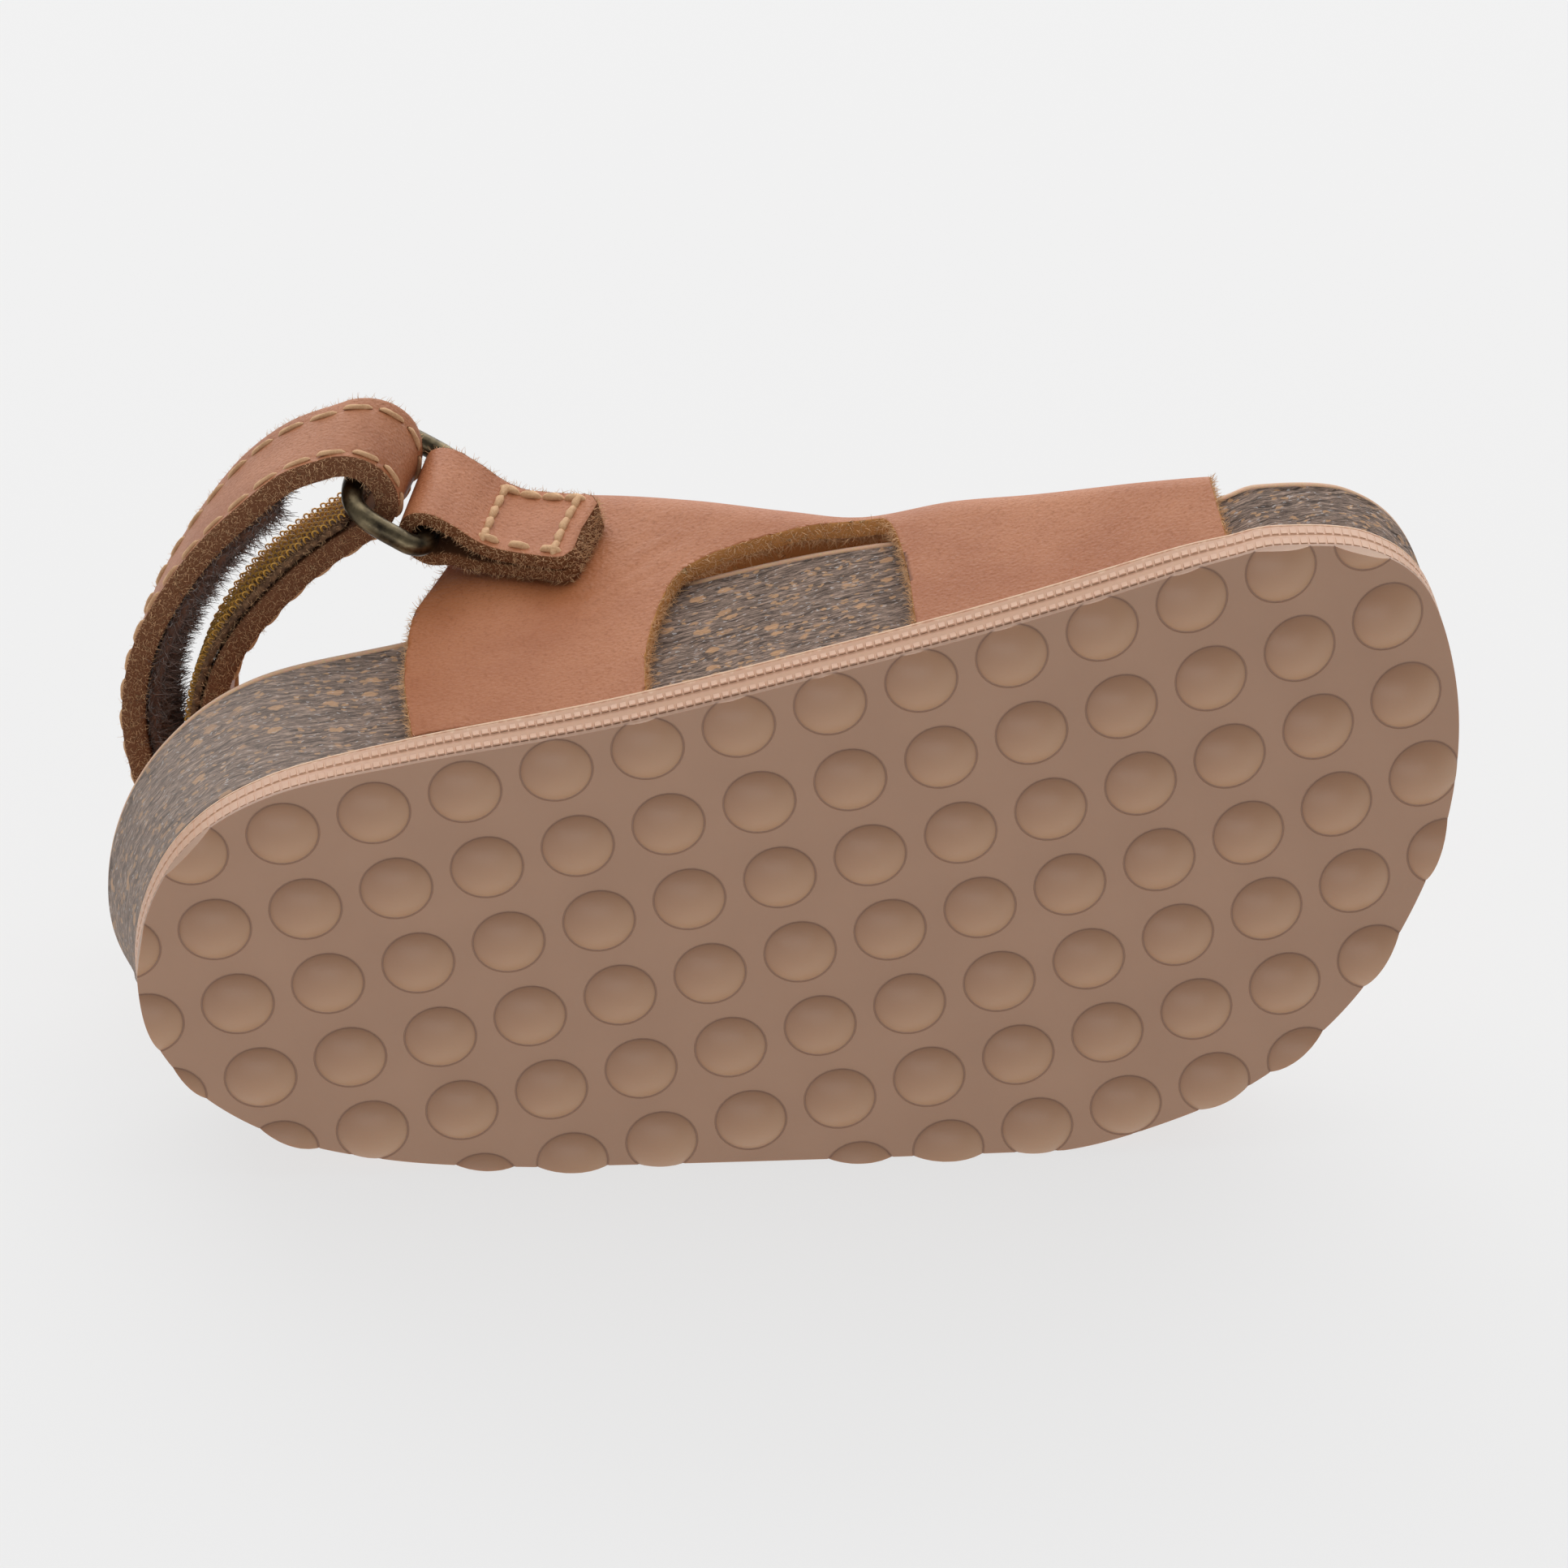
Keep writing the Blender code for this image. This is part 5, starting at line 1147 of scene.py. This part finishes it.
def skin_strip(shape, rings, section):
    """Skins a strip's rings, closes its ends, and gives each face its side's finish."""
    loops = skin(shape, rings)
    shape.faces.ensure_lookup_table()
    count = len(section)
    for place, face in enumerate(shape.faces[-count * (len(rings) - 1):]):
        index = place % count
        kinds = {section[index][2], section[(index + 1) % count][2]}
        face.material_index = 1 if 1 in kinds or len(kinds) > 1 else kinds.pop()
    for loop in (loops[0][::-1], loops[-1]):
        cap = shape.faces.new(loop)
        cap.material_index = 1
    return loops


def stitch(length, thickness):
    """One stitch of twisted thread: a plump bar that dips into the leather at both ends."""
    shape = bmesh.new()
    rings = []
    for step in range(9):
        share = step / 8.0
        swell = math.sin(math.pi * share) ** 0.45 if 0.0 < share < 1.0 else 0.0
        radius = thickness * (0.35 + 0.65 * swell)
        lift = 0.8 * thickness * swell - 0.5 * thickness
        turn = PLY_TWIST * share
        ring_points = []
        for side in range(9):
            angle = 2.0 * math.pi * side / 9
            reach = radius * (1.0 + PLY_DEPTH * math.cos(PLIES * (angle + turn)))
            ring_points.append((length * (share - 0.5), reach * math.cos(angle),
                                lift + reach * math.sin(angle)))
        rings.append(ring_points)
    skin(shape, rings)
    bmesh.ops.recalc_face_normals(shape, faces=shape.faces)
    return drawing("stitch", shape)


# Waxed thread: a pale twist, darker in the hollows between its plies.
thread, tree, shader = new_material("waxed_thread", "#B98B5C", 0.75)
flat_place = add_node(tree, "ShaderNodeAttribute", {"attribute_name": "shoe_mm"}, {}).outputs["Vector"]
ply = add_node(tree, "ShaderNodeTexNoise", {}, {"Vector": flat_place, "Scale": 5.0, "Detail": 3.0}).outputs[0]
tone = add_node(tree, "ShaderNodeMix", {"data_type": "RGBA"}, {
    0: ply, 6: linear_colour("#B07F56"), 7: linear_colour("#E2BC92")}).outputs[2]
tree.links.new(tone, shader.inputs["Base Color"])

bar_stand_off = wall_y(RING_BAR_MIDDLE.x, False) - RING_BAR_MIDDLE.y
loop_radius = WIRE_RADIUS + EYE_SLACK + 0.5 * TAB_LAYER
loop_points = []
for turn in range(-95, -296, -25):
    angle = math.radians(turn)
    loop_points.append((loop_radius * math.cos(angle), bar_stand_off + loop_radius * math.sin(angle)))
strip_path = smooth_path(list(LOWER_LAYER) + loop_points + list(UPPER_LAYER), 4)
slope = Vector((math.cos(TAB_SLOPE), 0.0, math.sin(TAB_SLOPE)))


def tab_place(along, out, side):
    """A point of the tab, from its distance along, out, and its share of the half width."""
    flare = min(max((TAB_FLARE_RUN - along) / TAB_FLARE_RUN, 0.0), 1.0)
    width = TAB_HALF_WIDTH_TAIL + (TAB_HALF_WIDTH_EYE - TAB_HALF_WIDTH_TAIL) * flare
    past = min(max(0.0, along - (TAB_LENGTH - TAB_CORNER)) / TAB_CORNER, 1.0)
    width -= TAB_CORNER * (1.0 - math.sqrt(max(0.0, 1.0 - past ** 2)))
    far = max(side, 0.0) * min(max(along / TAB_LENGTH, 0.0), 1.0)
    place = RING_BAR_MIDDLE + slope * (along + TAB_SKEW * far) + bar * (side * width + TAB_SPREAD * far)
    return Vector((place.x, wall_y(max(place.x, RING_BAR_MIDDLE.x), False) - out, place.z))


section = strip_section(TAB_TOP)
rings = []
for index, (at, out) in enumerate(strip_path):
    before, after = strip_path[max(index - 1, 0)], strip_path[min(index + 1, len(strip_path) - 1)]
    run = Vector(after - before).normalized()
    normal = Vector((-run.y, run.x))
    ring_points = []
    for thick, wide, kind in section:
        rough = 0.0 if kind != 1 else 0.012 * noise.noise(Vector((index * 0.8, thick * 2.0, wide * 9.0)))
        offset = 0.5 * TAB_LAYER * thick
        side = wide * (CUT_WIDTH + rough)
        ring_points.append(tuple(tab_place(at + normal.x * offset, out + normal.y * offset, side)))
    rings.append(ring_points)
shape = bmesh.new()
skin_strip(shape, rings, section)
bmesh.ops.recalc_face_normals(shape, faces=shape.faces)
tab_edge = raw_leather("raw_tab_edge", "#6A4329", "#E8B988", 1.5)
tab_fibres = strewn_on(shape, cut_edge, fibre(*TAB_FIBRE), *TAB_FIBRES, fray)
tab_tan = leather("tan_tab_cowhide", ("#A0603B", "#AB6A45", "#B47550", "#753F20"), 2.6)
tab = lay("ring_tab_leather", shape, tab_tan, tab_edge, tab_edge)
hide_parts("ring_tab")
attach(tab, "root")

tab_fray = gathered("ring_tab_fibres", [tab_fibres], fray)
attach(tab_fray, "root")

# The box of stitches on the tab's outer face. Columns: distance along, share of the half width.
BOX = ((6.2, 0.76), (14.4, 0.8), (14.4, -0.74), (6.2, -0.74))
box_rows = []
over_x = [row[0] for row in UPPER_LAYER]
over_out = [row[1] for row in UPPER_LAYER]
box_stitch = stitch(STITCH_LENGTH, BOX_STITCH_THICKNESS)
for (a0, s0), (a1, s1) in zip(BOX, BOX[1:] + BOX[:1]):
    line, ups = [], []
    for step in range(25):
        share = 0.05 + 0.9 * step / 24.0
        at, side = a0 + (a1 - a0) * share, s0 + (s1 - s0) * share
        point = tab_place(at, float(np.interp(at, over_x, over_out)) + 0.5 * TAB_LAYER, side)
        slide = tab_place(at + 0.3, float(np.interp(at + 0.3, over_x, over_out)) + 0.5 * TAB_LAYER, side)
        out = bar.cross(slide - point).normalized()
        line.append(point)
        ups.append(out if out.y < 0.0 else -out)
    run = sum((second - first).length for first, second in zip(line, line[1:]))
    stitches_here = max(2, round(run / (0.82 * STITCH_LENGTH)))
    box_rows.append(row_of(box_stitch, line, ups, run / stitches_here, thread, False))
bpy.data.objects.remove(box_stitch, do_unlink=True)
stitches = gathered("ring_tab_stitches", box_rows, thread)
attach(stitches, "root")

# Heel strap. A band of two leathers sewn face to back near both edges. It starts inside the outer quarter,
# passes behind the heel, goes through the ring and comes back over itself to close.
STRAP_WIDTH = 14.8
STRAP_SQUEEZE = 0.22
# The ring squeezes the band past this x, over this run, on the inner side of this y.
SQUEEZE_START, SQUEEZE_RUN, SQUEEZE_SIDE = 22.0, 14.0, -15.0
ANKLE_X = 32.0
STRAP_THICKNESS = 2.6
STRAP_MIDDLE_HEIGHT = 44.5
# The band's middle from above. Columns: x, y, lean in degrees.
INNER_ARM = ((35.0, 24.2, 20.0), (28.0, 21.4, 15.0), (20.5, 16.8, 10.0), (14.4, 9.6, 8.0), (11.9, 1.0, 9.0),
             (13.2, -7.4, 10.5), (16.2, -14.4, 13.5), (21.0, -20.0, 15.0), (27.6, -24.6, 12.5))
FOLD_CENTRE = (34.9, -33.25)
FOLD_RADIUS = 5.1
FOLD_START = math.radians(62.0)
FOLD_STEPS = 16
FOLD_LEAN = 8.0
FOLD_UPRIGHT = math.radians(15.0)
OUTER_ARM = ((28.6, -37.4, 5.0), (21.5, -33.4, 11.0), (15.0, -27.7, 14.0), (9.5, -20.9, 14.0),
             (5.9, -13.0, 10.0), (5.0, -4.0, 8.0), (5.8, 4.0, 8.0))
ROOT_STATIONS = (56.0, 54.0, 52.0, 50.0, 48.0, 46.0, 44.0, 42.0, 40.0)
ROOT_GAP = 0.8
STRAP_TOP = [(1.0, level) for level in (-0.96, -0.93, -0.87, -0.8, -0.74, -0.55, -0.3, 0.0, 0.3, 0.5,
                                        0.58, 0.64, 0.7, 0.8, 0.9, 0.96)]
STITCH_ROWS = (-0.8, 0.64)
STRAP_STITCH_LENGTH, STRAP_STITCH_THICKNESS, STRAP_STITCH_PITCH = 3.2, 0.31, 3.9
STRAP_FIBRE, STRAP_FIBRES = (0.55, 0.04, 0.5), (12.0, 0.8, 5)


def last_y(x, height, outer, depth):
    """y of the leather shell at a height above the tread, at a depth under its outer face."""
    inner_shoulder, crest, crest_y, outer_shoulder = last_section(x)
    shoulder = outer_shoulder if outer else inner_shoulder
    wall = wall_y(x, outer) + (-depth if outer else depth)
    if height <= shoulder:
        return wall
    share = min((height - shoulder) / (crest - depth - shoulder), 1.0)
    return crest_y + (wall - crest_y) * math.sqrt(1.0 - share ** 2)


def band_point(stations, index, offset, level, width):
    """A point of the band at a station: offset across its thickness, level from -1 to 1 over its width."""
    x, y, lean = stations[index]
    before, after = stations[max(index - 1, 0)], stations[min(index + 1, len(stations) - 1)]
    run = Vector((after[0] - before[0], after[1] - before[1], 0.0)).normalized()
    out = Vector((run.y, -run.x, 0.0))
    share = min(max((x - SQUEEZE_START) / SQUEEZE_RUN, 0.0), 1.0) if y < SQUEEZE_SIDE else 0.0
    share = share * share * (3.0 - 2.0 * share)
    rise = 0.5 * width * level * (1.0 - STRAP_SQUEEZE * share)
    away = 1.0 if run.y * (x - ANKLE_X) - run.x * y > 0.0 else -1.0
    place = Vector((x, y, STRAP_MIDDLE_HEIGHT + rise)) + out * offset
    place -= out * (math.tan(math.radians(lean)) * rise * away)
    place.x += share * rise / math.tan(RING_SLANT)
    return place


fold = []
for step in range(FOLD_STEPS + 1):
    turn = FOLD_START - (FOLD_START + 0.5 * math.pi) * step / FOLD_STEPS
    fold.append((FOLD_CENTRE[0] + FOLD_RADIUS * math.cos(turn), FOLD_CENTRE[1] + FOLD_RADIUS * math.sin(turn),
                 FOLD_LEAN * max(0.0, turn - FOLD_UPRIGHT) / (FOLD_START - FOLD_UPRIGHT)))
inner_arm = smooth_path(list(INNER_ARM) + fold[:1], 10)
outer_arm = smooth_path(fold[-1:] + list(OUTER_ARM), 10)
band = np.vstack([inner_arm, fold[1:-1], outer_arm])
half = 0.5 * STRAP_THICKNESS
section = strip_section(STRAP_TOP)
rings = []
for x in ROOT_STATIONS:
    ring_points = []
    for thick, wide, kind in section:
        height = STRAP_MIDDLE_HEIGHT + 0.5 * STRAP_WIDTH * wide
        offset = half * (1.0 + thick)
        ring_points.append((x, last_y(x, height, True, LEATHER) - ROOT_GAP - offset, height))
    rings.append(ring_points)
for index in range(len(band)):
    ring_points = []
    for thick, wide, kind in section:
        rough = 0.0 if kind != 1 else noise.noise(Vector((index * 0.45, thick * 1.7, wide * 5.0)))
        groove = 0.1 * sum(math.exp(-((wide - row) / 0.04) ** 2) for row in STITCH_ROWS) if kind == 0 else 0.0
        side = wide * (CUT_WIDTH + 0.007 * rough)
        ring_points.append(tuple(band_point(band, index, -thick * (half - groove), side, STRAP_WIDTH)))
    rings.append(ring_points)
shape = bmesh.new()
skin_strip(shape, rings, section)
bmesh.ops.recalc_face_normals(shape, faces=shape.faces)
strap_tan = leather("tan_strap_cowhide", ("#9A5E3A", "#A56842", "#B07450", "#734223"), 2.6)
strap_edge = raw_leather("raw_strap_edge", "#704A33", "#E8BC90", 1.5)
strap_back = raw_leather("strap_flesh_side", "#6E462B", "#C89468", 1.2)
strap_fibres = strewn_on(shape, cut_edge, fibre(*STRAP_FIBRE), *STRAP_FIBRES, fray)
strap = lay("heel_strap_leather", shape, strap_tan, strap_edge, strap_back)
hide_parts("heel_strap")
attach(strap, "root")

strap_fray = gathered("heel_strap_fibres", [strap_fibres], fray)
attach(strap_fray, "root")

rows = []
strap_stitch = stitch(STRAP_STITCH_LENGTH, STRAP_STITCH_THICKNESS)
for level in STITCH_ROWS:
    stations = range(2, len(band) - 2)
    line = [band_point(band, index, -half, level, STRAP_WIDTH) for index in stations]
    ups = []
    for index in stations:
        core = band_point(band, index, 0.0, level, STRAP_WIDTH)
        ups.append((band_point(band, index, -half, level, STRAP_WIDTH) - core).normalized())
    rows.append(row_of(strap_stitch, line, ups, STRAP_STITCH_PITCH, thread, False))
bpy.data.objects.remove(strap_stitch, do_unlink=True)
strap_stitches = gathered("heel_strap_stitches", rows, thread)
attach(strap_stitches, "root")

# Fastening tapes. A woven tape with golden nylon hooks is sewn on the arm behind the heel, and a napped
# pile tape on the arm that comes back over it.
TAPE_GAP = 0.3
HOOK_TAPE_THICKNESS = 0.8
PILE_TAPE_THICKNESS = 1.2
TAPE_WIDTH = 12.5
HOOK_PITCH = 1.15
HOOK_ROWS = 9
# Rows of hooks, as shares of the tape's half width, and a hook's reach, rise, leg, overturn and wire.
HOOK_LEVELS = (-0.8, 0.93)
HOOK_REACH, HOOK_RISE, HOOK_LEG, HOOK_OVERTURN, HOOK_WIRE = 0.35, 0.42, 0.28, 1.15, 0.105
LEG_SHARE = 0.3
HOOK_TAPE_SPAN = (35.5, 4.0)
PILE_TAPE_END = 26.0
FUZZ_FIBRE, FUZZ_FIBRES = (0.7, 0.05, 0.6), (4.5, 1.0, 7)
NAP_FIBRE, NAP_FIBRES = (1.8, 0.075, 1.3), (10.0, 0.8, 6)

# Woven tape: matt, with a raised cell every 0.55 mm where its threads cross.
woven, tree, shader = new_material("woven_tape", "#5B4630", 0.85)
flat_place = add_node(tree, "ShaderNodeAttribute", {"attribute_name": "shoe_mm"}, {}).outputs["Vector"]
weave = add_node(tree, "ShaderNodeTexVoronoi", {}, {"Vector": flat_place, "Scale": 1.8}).outputs["Distance"]
tone = add_node(tree, "ShaderNodeMix", {"data_type": "RGBA"}, {
    0: weave, 6: linear_colour("#8E6A4A"), 7: linear_colour("#543B28")}).outputs[2]
tree.links.new(tone, shader.inputs["Base Color"])
bump = add_node(tree, "ShaderNodeBump", {}, {"Strength": 1.0, "Distance": 0.0003, "Height": weave})
tree.links.new(bump.outputs[0], shader.inputs["Normal"])
# Drawn nylon thread, dyed golden: a fine gloss along each hook.
nylon, tree, shader = new_material("golden_nylon", "#EDB550", 0.38)
# Brushed yarn: a deep brown nap, paler at its tips.
pile_yarn, tree, shader = new_material("brushed_pile_yarn", "#4C2E20", 0.9)
shader.inputs["Sheen Weight"].default_value = 0.5
flat_place = add_node(tree, "ShaderNodeAttribute", {"attribute_name": "shoe_mm"}, {}).outputs["Vector"]
nap = add_node(tree, "ShaderNodeTexNoise", {}, {"Vector": flat_place, "Scale": 1.2, "Detail": 5.0}).outputs[0]
tone = add_node(tree, "ShaderNodeMix", {"data_type": "RGBA"}, {
    0: nap, 6: linear_colour("#3C2318"), 7: linear_colour("#744A33")}).outputs[2]
tree.links.new(tone, shader.inputs["Base Color"])


def tape(stations, chosen, thickness):
    """A flat tape on the band's outward side, along the chosen stations."""
    near = half + TAPE_GAP
    far = near + thickness
    levels = np.linspace(-1.0, 1.0, 9)
    rings = []
    for index in chosen:
        ring_points = [band_point(stations, index, near, level, TAPE_WIDTH) for level in levels]
        ring_points += [band_point(stations, index, far, level, TAPE_WIDTH) for level in levels[::-1]]
        rings.append([tuple(point) for point in ring_points])
    shape = bmesh.new()
    loops = skin(shape, rings)
    shape.faces.new(loops[0][::-1])
    shape.faces.new(loops[-1])
    bmesh.ops.recalc_face_normals(shape, faces=shape.faces)
    return shape


hook_stations = [index for index, row in enumerate(inner_arm)
                 if row[0] < HOOK_TAPE_SPAN[0] and row[1] < HOOK_TAPE_SPAN[1]]
pile_stations = [index for index, row in enumerate(outer_arm) if row[0] < PILE_TAPE_END]
shape = tape(inner_arm, hook_stations, HOOK_TAPE_THICKNESS)
fuzz = strewn_on(shape, lambda face: True, fibre(*FUZZ_FIBRE), *FUZZ_FIBRES, fray)
hook_base = lay("hook_tape_weave", shape, woven)
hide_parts("hook_tape")
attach(hook_base, "root")
hook_fuzz = gathered("hook_tape_fuzz", [fuzz], fray)
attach(hook_fuzz, "root")

# One hook: a nylon thread that stands up and bends over.
hook = bmesh.new()
rings = []
for step in range(8):
    share = step / 7.0
    if share < LEG_SHARE:
        at = Vector((-HOOK_REACH, 0.0, -0.2 + share * 1.6))
        run = Vector((0.0, 0.0, 1.0))
    else:
        angle = math.pi * (1.0 - (share - LEG_SHARE) / (1.0 - LEG_SHARE) * HOOK_OVERTURN)
        at = Vector((HOOK_REACH * math.cos(angle), 0.0, HOOK_LEG + HOOK_RISE * math.sin(angle)))
        run = Vector((HOOK_REACH * math.sin(angle), 0.0, -HOOK_RISE * math.cos(angle))).normalized()
    across = Vector((0.0, 1.0, 0.0))
    lift = run.cross(across)
    rings.append([tuple(at + (across * math.cos(a) + lift * math.sin(a)) * HOOK_WIRE)
                  for a in (2.0 * math.pi * k / 5 for k in range(5))])
skin(hook, rings)
bmesh.ops.recalc_face_normals(hook, faces=hook.faces)
hook_drawing = drawing("hook", hook)
rows = []
for row_index in range(HOOK_ROWS):
    level = HOOK_LEVELS[0] + (HOOK_LEVELS[1] - HOOK_LEVELS[0]) * row_index / (HOOK_ROWS - 1)
    start = row_index % 2
    line = [band_point(inner_arm, index, half + TAPE_GAP + HOOK_TAPE_THICKNESS, level, TAPE_WIDTH)
            for index in hook_stations[start:]]
    ups = []
    for index in hook_stations[start:]:
        core = band_point(inner_arm, index, 0.0, level, TAPE_WIDTH)
        ups.append((band_point(inner_arm, index, 2.0, level, TAPE_WIDTH) - core).normalized())
    rows.append(row_of(hook_drawing, line, ups, HOOK_PITCH, nylon, False))
bpy.data.objects.remove(hook_drawing, do_unlink=True)
hooks = gathered("hook_tape_hooks", rows, nylon)
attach(hooks, "root")

shape = tape(outer_arm, pile_stations, PILE_TAPE_THICKNESS)
loops_of_pile = strewn_on(shape, lambda face: True, fibre(*NAP_FIBRE), *NAP_FIBRES, pile_yarn)
pile = lay("pile_tape_yarn", shape, pile_yarn)
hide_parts("pile_tape")
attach(pile, "root")
pile_nap = gathered("pile_tape_nap", [loops_of_pile], pile_yarn)
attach(pile_nap, "root")
